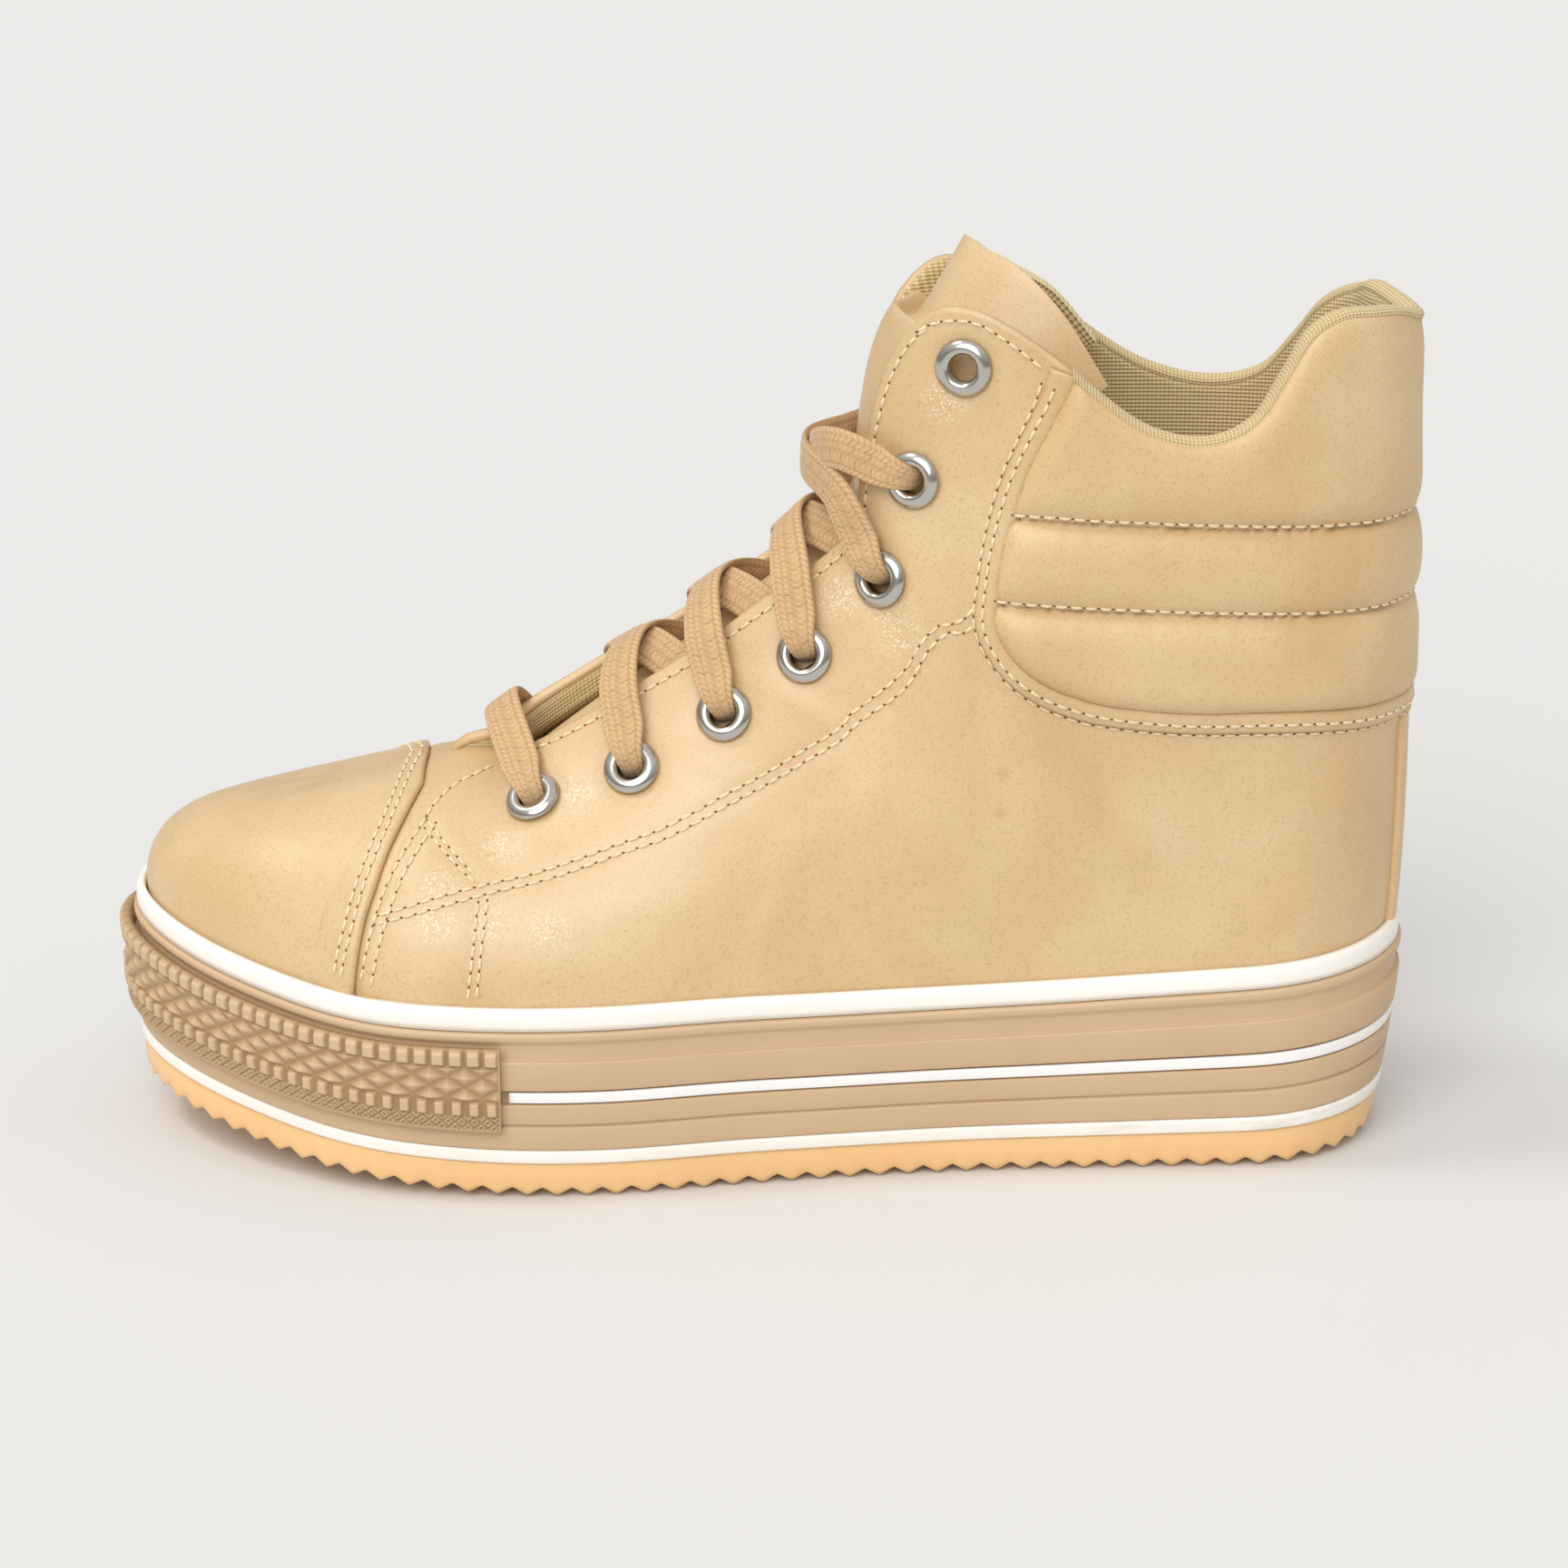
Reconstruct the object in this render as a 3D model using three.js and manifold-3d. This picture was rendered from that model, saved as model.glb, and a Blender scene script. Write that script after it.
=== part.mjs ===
// Left high-top platform sneaker, millimetres, +X toward the toe,
// +Y the wearer's left (lateral) side, +Z up, standing on z = 0.
import * as THREE from 'three';
import { mergeVertices } from 'three/addons/utils/BufferGeometryUtils.js';
import Module from 'manifold-3d';

const wasm = await Module();
wasm.setup();
const { Manifold, Mesh: ManifoldMesh } = wasm;

// Driving sizes
const overallLength = 268;
const soleLength = 264.4;
const soleHeight = 36;
const shaftHeight = 142;
const ballHalf = 48;
const toeSpring = 11;
const heelLift = 2.2;
const contactFrom = 42;
const contactTo = 160;
const wall = 2;
const gap = 0.3;
const foxingHeight = 4.5;
const upperInset = 3.6;
const toeInset = 4.7;
const insoleThick = 3;
const toothPitch = 5.9;
const toothDepth = 1.5;
const toothReach = 7;
const bumperThick = 1.7;
const bumperStart = 0.7;
const blockProud = 1.0;
const blockPitch = 3.3;
const blockWidth = 2.3;
const blockLow = 0.824;
const blockHigh = 0.915;
const capStep = 0.8;
const padThick = 4.2;
const padEdgeThick = 0.7;
const padGap = 0.8;
const eyeletOuter = 5.75;
const eyeletInner = 2.8;
const eyeletBarrel = 3.35;
const eyeletHole = 4.0;
const eyeletSeat = 0.45;
const punchLength = 12;
const channelLowHeight = 115.5;
const channelHighHeight = 133;
const channelRise = 4.5;
const backstayTop = 94.2;
const laceWidth = 8.5;
const laceThick = 1.2;
const tongueThick = 3;

// Small maths
const lerp = (a, b, t) => a + (b - a) * t;
const clamp = (x, a, b) => Math.min(b, Math.max(a, x));
const vec = (x, y, z) => new THREE.Vector3(x, y, z);

// Smooth curve through a table of [position, value]
function smooth(table, x) {
  const n = table.length;
  const slope = (k) => (table[k + 1][1] - table[k][1]) / (table[k + 1][0] - table[k][0]);
  const tangent = (k) => {
    if (k === 0) return slope(0);
    if (k === n - 1) return slope(n - 2);
    const before = table[k][0] - table[k - 1][0];
    const after = table[k + 1][0] - table[k][0];
    return (slope(k - 1) * after + slope(k) * before) / (before + after);
  };
  let i = 0;
  while (i < n - 2 && x > table[i + 1][0]) i += 1;
  const h = table[i + 1][0] - table[i][0];
  const t = (x - table[i][0]) / h;
  const t2 = t * t;
  const t3 = t2 * t;
  return (2 * t3 - 3 * t2 + 1) * table[i][1] + (t3 - 2 * t2 + t) * h * tangent(i)
    + (3 * t2 - 2 * t3) * table[i + 1][1] + (t3 - t2) * h * tangent(i + 1);
}

// Plan of the sole
// Each row: share of the length, share of the half width at the ball
const halfWidths = [
  [0.00, 0.708], [0.08, 0.708], [0.20, 0.719], [0.35, 0.740], [0.50, 0.833],
  [0.62, 0.958], [0.72, 1.010], [0.82, 0.990], [0.91, 0.896], [1.00, 0.833],
];
// Each row: share of the length, sideways bend of the middle line, same unit
const bends = [
  [0.00, 0.000], [0.20, 0.010], [0.35, 0.031], [0.50, 0.052], [0.62, 0.052],
  [0.72, 0.021], [0.82, -0.042], [0.91, -0.104], [1.00, -0.167],
];
const heelRound = 34;
const toeRound = 62;

const bend = (x) => smooth(bends, x / soleLength) * ballHalf;

function halfWidth(x) {
  let w = smooth(halfWidths, x / soleLength) * ballHalf;
  if (x < heelRound) {
    w *= (1 - Math.max(0, (heelRound - x) / heelRound) ** 2.1) ** (1 / 2.1);
  }
  if (x > soleLength - toeRound) {
    const k = Math.min(1, (x - soleLength + toeRound) / toeRound);
    w *= (1 - k ** 2.15) ** (1 / 2.15);
  }
  return w;
}

// Point of the outline at turn t (0 heel, PI toe) moved outward by `off`
function rimPoint(t, side, off = 0) {
  const at = (s) => {
    const x = soleLength / 2 - soleLength / 2 * Math.cos(s);
    const y = bend(x) + side * Math.sign(Math.sin(s)) * halfWidth(x);
    return vec(x, y, 0);
  };
  const d = 0.004;
  const tangent = at(t + d).sub(at(t - d)).normalize();
  const out = vec(tangent.y, -tangent.x, 0).multiplyScalar(-side);
  return { p: at(t).addScaledVector(out, off), out };
}

const insetAt = (share) => lerp(upperInset, toeInset, clamp((share - 0.72) / 0.12, 0, 1));
const turnAt = (share) => Math.acos(clamp(1 - 2 * share, -1, 1));

// Height of the sole's underside and of its upper face
function soleBottom(x) {
  if (x > contactTo) return toeSpring * ((x - contactTo) / (soleLength - contactTo)) ** 2;
  if (x < contactFrom) return heelLift * ((contactFrom - x) / contactFrom) ** 2;
  return 0;
}
// Each row: share of the length, share of the sole height
const thickness = [
  [-0.10, 1.12], [0.00, 1.12], [0.10, 1.10], [0.20, 1.06], [0.30, 1.02], [0.42, 1.00],
  [0.58, 1.00], [0.70, 0.98], [0.80, 0.945], [0.92, 0.945], [1.00, 0.97], [1.10, 0.97],
];
const soleThick = (x) => smooth(thickness, x / soleLength) * soleHeight;
const soleZ = (x, share) => soleBottom(x) + soleThick(x) * share;

// The side leans in toward the floor, more at the heel than at the toe
const lean = (x) => -lerp(5.2, 1.6, clamp(x / soleLength, 0, 1));
const leanOff = (x, share) => lean(x) * (1 - Math.min(1, share)) ** 1.3;

// Closed body from a stack of rings with the same number of points;
// the two end faces join lateral to medial
function loftRings(rings) {
  const n = rings[0].length;
  const pos = [];
  const idx = [];
  rings.forEach((ring) => ring.forEach((p) => pos.push(p.x, p.y, p.z)));
  for (let r = 0; r + 1 < rings.length; r += 1) {
    for (let i = 0; i < n; i += 1) {
      const j = (i + 1) % n;
      const a = r * n + i;
      const b = r * n + j;
      idx.push(a, b, b + n, a, b + n, a + n);
    }
  }
  const top = (rings.length - 1) * n;
  for (let i = 0; i < n / 2; i += 1) {
    const a = i;
    const b = i + 1;
    const c = (n - i) % n;
    const d = n - i - 1;
    if (b !== d) {
      idx.push(a, d, b);
      idx.push(top + a, top + b, top + d);
    }
    if (a !== c) {
      idx.push(a, c, d);
      idx.push(top + a, top + d, top + c);
    }
  }
  return solidFrom(pos, idx);
}

// Welded geometry from raw numbers, triangles without area left out
function solidFrom(pos, idx) {
  const key = new Map();
  const map = [];
  const out = [];
  for (let i = 0; i < pos.length; i += 3) {
    const k = [0, 1, 2].map((c) => Math.round(pos[i + c] * 2000)).join(',');
    if (!key.has(k)) {
      key.set(k, out.length / 3);
      out.push(pos[i], pos[i + 1], pos[i + 2]);
    }
    map.push(key.get(k));
  }
  const tri = [];
  for (let i = 0; i < idx.length; i += 3) {
    const [a, b, c] = [map[idx[i]], map[idx[i + 1]], map[idx[i + 2]]];
    if (a !== b && b !== c && a !== c) tri.push(a, b, c);
  }
  const g = new THREE.BufferGeometry();
  g.setAttribute('position', new THREE.Float32BufferAttribute(out, 3));
  g.setIndex(tri);
  if (signedVolume(g) < 0) {
    for (let i = 0; i < tri.length; i += 3) [tri[i], tri[i + 1]] = [tri[i + 1], tri[i]];
    g.setIndex(tri);
  }
  return g;
}

function signedVolume(g) {
  const p = g.attributes.position;
  const at = (i) => vec(p.getX(i), p.getY(i), p.getZ(i));
  let v = 0;
  for (let i = 0; i < g.index.count; i += 3) {
    const [a, b, c] = [0, 1, 2].map((k) => at(g.index.getX(i + k)));
    v += a.dot(b.cross(c)) / 6;
  }
  return v;
}

// Closed body from an open sheet of triangles: each corner goes out and in
// along its own normal, and the edges of the sheet are closed by a rim
function solidFromSheet(pos, idx, outBy, inBy) {
  const flat = solidFromSheetWeld(pos, idx, outBy, inBy);
  const n = flat.points.length;
  const allPos = [];
  const normals = flat.points.map(() => vec(0, 0, 0));
  for (let i = 0; i < flat.tri.length; i += 3) {
    const [a, b, c] = [flat.tri[i], flat.tri[i + 1], flat.tri[i + 2]];
    const ab = flat.points[b].clone().sub(flat.points[a]);
    const ac = flat.points[c].clone().sub(flat.points[a]);
    const cross = ab.cross(ac);
    [a, b, c].forEach((k) => normals[k].add(cross));
  }
  normals.forEach((v) => v.normalize());
  flat.points.forEach((p, i) => {
    const q = p.clone().addScaledVector(normals[i], flat.outBy[i]);
    allPos.push(q.x, q.y, q.z);
  });
  flat.points.forEach((p, i) => {
    const q = p.clone().addScaledVector(normals[i], -flat.inBy[i]);
    allPos.push(q.x, q.y, q.z);
  });
  const edges = new Map();
  const all = [];
  for (let i = 0; i < flat.tri.length; i += 3) {
    const t = [flat.tri[i], flat.tri[i + 1], flat.tri[i + 2]];
    all.push(t[0], t[1], t[2], n + t[0], n + t[2], n + t[1]);
    for (let k = 0; k < 3; k += 1) edges.set(`${t[k]},${t[(k + 1) % 3]}`, [t[k], t[(k + 1) % 3]]);
  }
  edges.forEach(([a, b]) => {
    if (!edges.has(`${b},${a}`)) all.push(b, a, n + a, b, n + a, n + b);
  });
  return solidFrom(allPos, all);
}

function solidFromSheetWeld(pos, idx, outBy, inBy) {
  const key = new Map();
  const map = [];
  const points = [];
  const outs = [];
  const ins = [];
  pos.forEach((p, i) => {
    const k = [p.x, p.y, p.z].map((c) => Math.round(c * 1000)).join(',');
    if (!key.has(k)) {
      key.set(k, points.length);
      points.push(p);
      outs.push(outBy[i]);
      ins.push(inBy[i]);
    }
    map.push(key.get(k));
  });
  const tri = [];
  for (let i = 0; i < idx.length; i += 3) {
    const [a, b, c] = [map[idx[i]], map[idx[i + 1]], map[idx[i + 2]]];
    if (a !== b && b !== c && a !== c) tri.push(a, b, c);
  }
  return { points, tri, outBy: outs, inBy: ins };
}

// Triangles of a grid of `cols` by `rows` points, stored column after column
function gridTriangles(cols, rows) {
  const idx = [];
  for (let c = 0; c + 1 < cols; c += 1) {
    for (let r = 0; r + 1 < rows; r += 1) {
      const a = c * rows + r;
      const b = a + rows;
      idx.push(a, b + 1, b, a, a + 1, b + 1);
    }
  }
  return idx;
}

// Manifold in and out, for joins and cuts
function toManifold(geometry) {
  const g = geometry.clone();
  g.deleteAttribute('normal');
  g.deleteAttribute('uv');
  const m = mergeVertices(g, 1e-4);
  return new Manifold(new ManifoldMesh({
    numProp: 3,
    vertProperties: new Float32Array(m.attributes.position.array),
    triVerts: new Uint32Array(m.index.array),
  }));
}
function fromManifold(body) {
  const mesh = body.getMesh();
  const g = new THREE.BufferGeometry();
  g.setAttribute('position', new THREE.Float32BufferAttribute(mesh.vertProperties, 3));
  g.setIndex(Array.from(mesh.triVerts));
  return g;
}

// The upper's outer face
// One row per column from the heel (0) to the toe (32). Shares of the named sizes:
// foot x, top x (length), top y (ball half width), top z (shaft height above soleHeight),
// rise (shaft), bulge (ball half), reach (ball half), drop (shaft)
const columns = [
  [0.000, 0.010, 0.000, 0.958, 0.155, 0.078, 0.000, 0.26],
  [0.005, 0.015, 0.155, 0.966, 0.155, 0.078, 0.000, 0.26],
  [0.022, 0.030, 0.290, 0.982, 0.155, 0.072, 0.000, 0.26],
  [0.050, 0.048, 0.400, 0.989, 0.160, 0.070, 0.000, 0.26],
  [0.078, 0.074, 0.480, 0.990, 0.165, 0.060, 0.000, 0.26],
  [0.100, 0.096, 0.530, 0.966, 0.170, 0.060, 0.000, 0.25],
  [0.122, 0.114, 0.565, 0.912, 0.175, 0.060, 0.000, 0.24],
  [0.145, 0.137, 0.600, 0.848, 0.175, 0.060, 0.000, 0.23],
  [0.175, 0.172, 0.630, 0.823, 0.175, 0.060, 0.000, 0.22],
  [0.210, 0.213, 0.640, 0.840, 0.175, 0.060, 0.000, 0.23],
  [0.243, 0.251, 0.632, 0.890, 0.180, 0.060, 0.010, 0.24],
  [0.267, 0.276, 0.620, 0.933, 0.190, 0.060, 0.030, 0.25],
  [0.288, 0.313, 0.583, 0.979, 0.200, 0.065, 0.060, 0.26],
  [0.306, 0.343, 0.530, 1.002, 0.205, 0.070, 0.090, 0.25],
  [0.319, 0.368, 0.480, 0.999, 0.210, 0.075, 0.150, 0.22],
  [0.330, 0.392, 0.417, 0.958, 0.210, 0.080, 0.260, 0.17],
  [0.340, 0.409, 0.375, 0.887, 0.210, 0.080, 0.360, 0.13],
  [0.354, 0.421, 0.350, 0.782, 0.210, 0.080, 0.400, 0.10],
  [0.373, 0.428, 0.330, 0.683, 0.210, 0.080, 0.380, 0.10],
  [0.399, 0.455, 0.305, 0.623, 0.210, 0.075, 0.340, 0.10],
  [0.437, 0.500, 0.285, 0.560, 0.205, 0.070, 0.310, 0.10],
  [0.485, 0.549, 0.265, 0.489, 0.195, 0.065, 0.305, 0.10],
  [0.545, 0.597, 0.245, 0.430, 0.180, 0.060, 0.310, 0.09],
  [0.616, 0.646, 0.210, 0.370, 0.165, 0.055, 0.350, 0.07],
  [0.672, 0.679, 0.140, 0.332, 0.155, 0.045, 0.430, 0.045],
  [0.705, 0.698, 0.000, 0.318, 0.150, 0.040, 0.520, 0.020],
  [0.754, 0.724, 0.000, 0.316, 0.150, 0.045, 0.510, 0.014],
  [0.799, 0.748, 0.000, 0.304, 0.148, 0.055, 0.500, 0.010],
  [0.835, 0.775, 0.000, 0.293, 0.142, 0.065, 0.490, 0.010],
  [0.875, 0.798, 0.000, 0.280, 0.134, 0.075, 0.480, 0.010],
  [0.915, 0.818, 0.000, 0.268, 0.126, 0.085, 0.465, 0.010],
  [0.950, 0.834, 0.000, 0.258, 0.118, 0.092, 0.450, 0.010],
  [0.976, 0.847, 0.000, 0.251, 0.113, 0.097, 0.435, 0.010],
  [0.993, 0.856, 0.000, 0.248, 0.110, 0.100, 0.425, 0.010],
  [1.000, 0.862, 0.000, 0.246, 0.110, 0.100, 0.420, 0.010],
];
// The medial collar rises later toward the heel: [column, share of length or shaft]
const medialBack = [[0, 0], [2, 0], [4, -0.024], [6, -0.026], [8, -0.016], [10, 0]];
const medialLower = [[0, 0], [2, -0.01], [4, -0.038], [6, -0.034], [8, -0.014], [10, 0]];
const lastColumn = columns.length - 1;
const throatColumn = 25;
const capColumn = 27;

// Table row between two columns, on a smooth curve
function columnAt(u) {
  const a = clamp(Math.abs(u), 0, lastColumn);
  return columns[0].map((_, k) => {
    const i = Math.min(Math.floor(a), lastColumn - 1);
    const from = Math.max(0, i - 2);
    const part = columns.slice(from, i + 4).map((row, j) => [from + j, row[k]]);
    return smooth(part, a);
  });
}

// Point of the outer face: u counts columns (+ lateral, - medial), v runs 0 sole to 1 top
function face(u, v) {
  const side = u < 0 ? -1 : 1;
  const a = Math.abs(u);
  const [footX, topX, topY, topZ, rise, bulge, reach, drop] = columnAt(a);
  const { p, out } = rimPoint(turnAt(footX), side, -insetAt(footX));
  const p0 = p.clone();
  p0.z = soleZ(p.x, 1) + gap + 0.1;
  const onRidge = a >= throatColumn;
  const inner = side < 0 && a < 10;
  const x3 = (topX + (inner ? smooth(medialBack, a) : 0)) * overallLength;
  const y3 = bend(x3) * 0.6 + (onRidge ? 0 : side * topY * ballHalf);
  const p3 = vec(x3, y3, soleHeight + (topZ + (inner ? smooth(medialLower, a) : 0)) * shaftHeight);
  const plan = vec(p0.x - p3.x, p0.y - p3.y, 0).normalize();
  const p1 = p0.clone().addScaledVector(out, bulge * ballHalf);
  p1.z += rise * shaftHeight;
  const p2 = p3.clone().addScaledVector(plan, reach * ballHalf);
  p2.z -= drop * shaftHeight;
  const w = 1 - v;
  return vec(0, 0, 0)
    .addScaledVector(p0, w * w * w)
    .addScaledVector(p1, 3 * w * w * v)
    .addScaledVector(p2, 3 * w * v * v)
    .addScaledVector(p3, v * v * v);
}

function faceNormal(u, v) {
  const d = 0.02;
  const v0 = clamp(v, 0.01, 0.99);
  const du = face(u + d, v0).sub(face(u - d, v0));
  const dv = face(u, v0 + 0.01).sub(face(u, v0 - 0.01));
  return dv.cross(du).normalize();
}

// v where the column u reaches height z
function heightToV(u, z) {
  let lo = 0;
  let hi = 1;
  for (let i = 0; i < 30; i += 1) {
    const mid = (lo + hi) / 2;
    if (face(u, mid).z < z) lo = mid;
    else hi = mid;
  }
  return (lo + hi) / 2;
}

// v at a straight distance below the top edge
function setbackToV(u, distance) {
  const top = face(u, 1);
  let lo = 0;
  let hi = 1;
  for (let i = 0; i < 30; i += 1) {
    const mid = (lo + hi) / 2;
    if (face(u, mid).distanceTo(top) > distance) lo = mid;
    else hi = mid;
  }
  return (lo + hi) / 2;
}

// Materials
const paint = (color, roughness, metalness = 0) => (
  new THREE.MeshStandardMaterial({ color, roughness, metalness })
);
const leather = paint(0xdfc195, 0.5);
const leatherPad = paint(0xdfc195, 0.52);
const beigeRubber = paint(0xd2b48e, 0.75);
const whiteRubber = paint(0xf5f1ea, 0.6);
const gumRubber = paint(0xf0bd7c, 0.5);
const laceFabric = paint(0xd3ac80, 0.9);
const innerMesh = paint(0xcdb57e, 0.95);
const nickel = paint(0xc9c8c4, 0.25, 1);

const shoe = new THREE.Group();
shoe.name = 'sneaker';
function add(name, geometry, material) {
  geometry.computeVertexNormals();
  const mesh = new THREE.Mesh(geometry, material);
  mesh.name = name;
  shoe.add(mesh);
  return mesh;
}

// Sole parts
const ringCount = 64;
function soleRing(share, off, count = ringCount, dz = 0) {
  const ring = [];
  for (let i = 0; i < count; i += 1) {
    const t = (2 * Math.PI * i) / count;
    const side = i <= count / 2 ? 1 : -1;
    const turn = side > 0 ? t : 2 * Math.PI - t;
    const base = rimPoint(turn, side, 0).p;
    const o = typeof off === 'function' ? off(base.x) : off;
    const p = rimPoint(turn, side, o + leanOff(base.x, share)).p;
    p.z = soleZ(p.x, share) + dz;
    ring.push(p);
  }
  return ring;
}

// Gum outsole with V teeth all round the lower edge
const gumTop = 0.195;
const perimeter = (() => {
  let length = 0;
  const ring = soleRing(0, 0, 240);
  ring.forEach((p, i) => { length += p.distanceTo(ring[(i + 1) % ring.length]); });
  return length;
})();
const toothCount = 2 * Math.round(perimeter / toothPitch / 2);
function evenRing(count, share, off) {
  const fine = soleRing(share, off, 720);
  const length = fine.map(() => 0);
  for (let i = 1; i < fine.length; i += 1) length[i] = length[i - 1] + fine[i].distanceTo(fine[i - 1]);
  const half = fine.length / 2;
  const walk = (from, to, steps) => {
    const pts = [];
    for (let s = 0; s < steps; s += 1) {
      const target = lerp(length[from], length[to - 1] + fine[to % fine.length].distanceTo(fine[to - 1]), s / steps);
      let k = from;
      while (k < to - 1 && length[k + 1] < target) k += 1;
      const next = k + 1 === to ? fine[to % fine.length] : fine[k + 1];
      const t = (target - length[k]) / next.distanceTo(fine[k]);
      pts.push(fine[k].clone().lerp(next, clamp(t, 0, 1)));
    }
    return pts;
  };
  return [...walk(0, half, count / 2), ...walk(half, fine.length, count / 2)];
}
const toothRing = evenRing(2 * toothCount, 0, -0.5);
toothRing.forEach((p, i) => { p.z = soleBottom(p.x) + (i % 2 ? toothDepth : 0); });
const toothInner = evenRing(2 * toothCount, 0, -toothReach);
toothInner.forEach((p) => { p.z = soleBottom(p.x); });
const gumUpper = evenRing(2 * toothCount, gumTop, -0.6);
gumUpper.forEach((p) => { p.z = soleZ(p.x, gumTop); });

// Ring stack with two points below for each point above keeps the body light
function outsoleBody() {
  const n = 2 * toothCount;
  const pos = [];
  const idx = [];
  const put = (ring) => {
    const start = pos.length / 3;
    ring.forEach((p) => pos.push(p.x, p.y, p.z));
    return start;
  };
  const upper = put(gumUpper.filter((_, i) => i % 2 === 0));
  const edge = put(toothRing);
  const inner = put(toothInner.filter((_, i) => i % 2 === 0));
  const m = toothCount;
  for (let i = 0; i < m; i += 1) {
    const a = edge + 2 * i;
    const b = edge + 2 * i + 1;
    const c = edge + ((2 * i + 2) % n);
    const d = upper + i;
    const e = upper + ((i + 1) % m);
    const f = inner + i;
    const g = inner + ((i + 1) % m);
    idx.push(a, b, d, b, e, d, b, c, e);
    idx.push(a, f, b, b, f, g, b, g, c);
  }
  for (let i = 0; i < m / 2; i += 1) {
    const b = i + 1;
    const c = (m - i) % m;
    const d = m - i - 1;
    if (b !== d) idx.push(inner + i, inner + d, inner + b, upper + i, upper + b, upper + d);
    if (i !== c) idx.push(inner + i, inner + c, inner + d, upper + i, upper + d, upper + c);
  }
  return solidFrom(pos, idx);
}
add('outsole', outsoleBody(), gumRubber);

const stackGap = 0.25;
const whiteTop = 0.281;
add('lower_band', loftRings([
  soleRing(gumTop, 0.2, ringCount, stackGap),
  soleRing(whiteTop, 0.2),
]), whiteRubber);

const lineLow = 0.425;
const lineMid = 0.4355;
const lineHigh = 0.446;
const grooveLow = 0.567;
const grooveHigh = 0.653;
const ledge = 0.831;
const grooveDepth = 1.6;
const ledgeDepth = 1.1;
add('midsole', loftRings([
  soleRing(whiteTop, 0, ringCount, stackGap),
  soleRing(lineLow, 0),
  soleRing(lineMid, -0.9),
  soleRing(lineHigh, 0),
  soleRing(grooveLow, 0),
  soleRing(grooveLow + 0.002, -grooveDepth),
  soleRing(grooveHigh - 0.002, -grooveDepth),
  soleRing(grooveHigh, 0),
  soleRing(ledge, 0),
  soleRing(ledge + 0.004, -ledgeDepth),
  soleRing(0.945, -ledgeDepth),
  soleRing(0.965, -0.35),
  soleRing(1, -0.6),
]), beigeRubber);

// Strip that follows the side: `outline` gives [share, offset] corners of its section
function sideStrip(fromTurn, toTurn, steps, corners) {
  const rings = [];
  for (let i = 0; i <= steps; i += 1) {
    const t = lerp(fromTurn, toTurn, i / steps);
    const side = t >= 0 ? 1 : -1;
    const turn = Math.abs(t);
    rings.push(corners.map(([share, off]) => {
      const base = rimPoint(turn, side, 0).p;
      const p = rimPoint(turn, side, off + leanOff(base.x, share)).p;
      p.z = soleZ(p.x, share);
      return p;
    }));
  }
  return rings;
}
function sweepRings(rings, closed = false) {
  const m = rings[0].length;
  const n = rings.length;
  const pos = [];
  const idx = [];
  rings.forEach((ring) => ring.forEach((p) => pos.push(p.x, p.y, p.z)));
  for (let r = 0; r < (closed ? n : n - 1); r += 1) {
    const s = (r + 1) % n;
    for (let i = 0; i < m; i += 1) {
      const j = (i + 1) % m;
      idx.push(r * m + i, s * m + i, s * m + j, r * m + i, s * m + j, r * m + j);
    }
  }
  if (!closed) {
    for (let i = 1; i + 1 < m; i += 1) {
      idx.push(0, i, i + 1);
      idx.push((n - 1) * m, (n - 1) * m + i + 1, (n - 1) * m + i);
    }
  }
  return solidFrom(pos, idx);
}

const bumperTurn = turnAt(bumperStart);
const stripeTurn = turnAt(bumperStart - 0.006);
add('side_stripe', sweepRings(sideStrip(-stripeTurn, stripeTurn, 44, [
  [grooveLow + 0.011, -grooveDepth + gap],
  [grooveHigh - 0.011, -grooveDepth + gap],
  [grooveHigh - 0.011, -0.1],
  [grooveLow + 0.011, -0.1],
])), whiteRubber);

// Foxing strip: stands on the sole, its inner side follows the upper
const foxingCount = 68;
const foxingRings = [];
for (let i = 0; i < foxingCount; i += 1) {
  const k = (i / foxingCount) * 2 * lastColumn;
  const u = k <= lastColumn ? k : k - 2 * lastColumn;
  const side = u < 0 ? -1 : 1;
  const foot = columnAt(u)[0];
  const { p, out } = rimPoint(turnAt(foot), side, -1.1);
  const base = soleZ(p.x, 1);
  const inner = (dz) => {
    const q = face(u, heightToV(u, base + dz));
    q.addScaledVector(out, gap + 0.15 + (Math.abs(u) > capColumn - 0.6 ? capStep : 0));
    q.z = base + dz;
    return q;
  };
  const outer = (dz, off) => {
    const q = p.clone().addScaledVector(out, off);
    q.z = base + dz;
    return q;
  };
  foxingRings.push([
    outer(gap, 0),
    outer(foxingHeight, -0.2),
    inner(foxingHeight),
    inner(gap + 0.1),
  ]);
}
add('foxing', sweepRings(foxingRings, true), whiteRubber);

// Toe bumper: a plate round the toe with two rows of raised blocks
const bumperLow = 0.412;
const bumperHigh = 0.923;
const bumperInner = gap + 0.05;
const bumperOuter = bumperInner + bumperThick;
const bumperSpan = Math.PI - bumperTurn;
function toeTurn(k) {
  const t = bumperTurn + k * 2 * bumperSpan;
  return t <= Math.PI ? { turn: t, side: 1 } : { turn: 2 * Math.PI - t, side: -1 };
}
function bumperSection(k, corners) {
  const { turn, side } = toeTurn(k);
  const base = rimPoint(turn, side, 0).p;
  return corners.map(([share, off]) => {
    const p = rimPoint(turn, side, off + leanOff(base.x, share)).p;
    p.z = soleZ(p.x, share);
    return p;
  });
}
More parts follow.
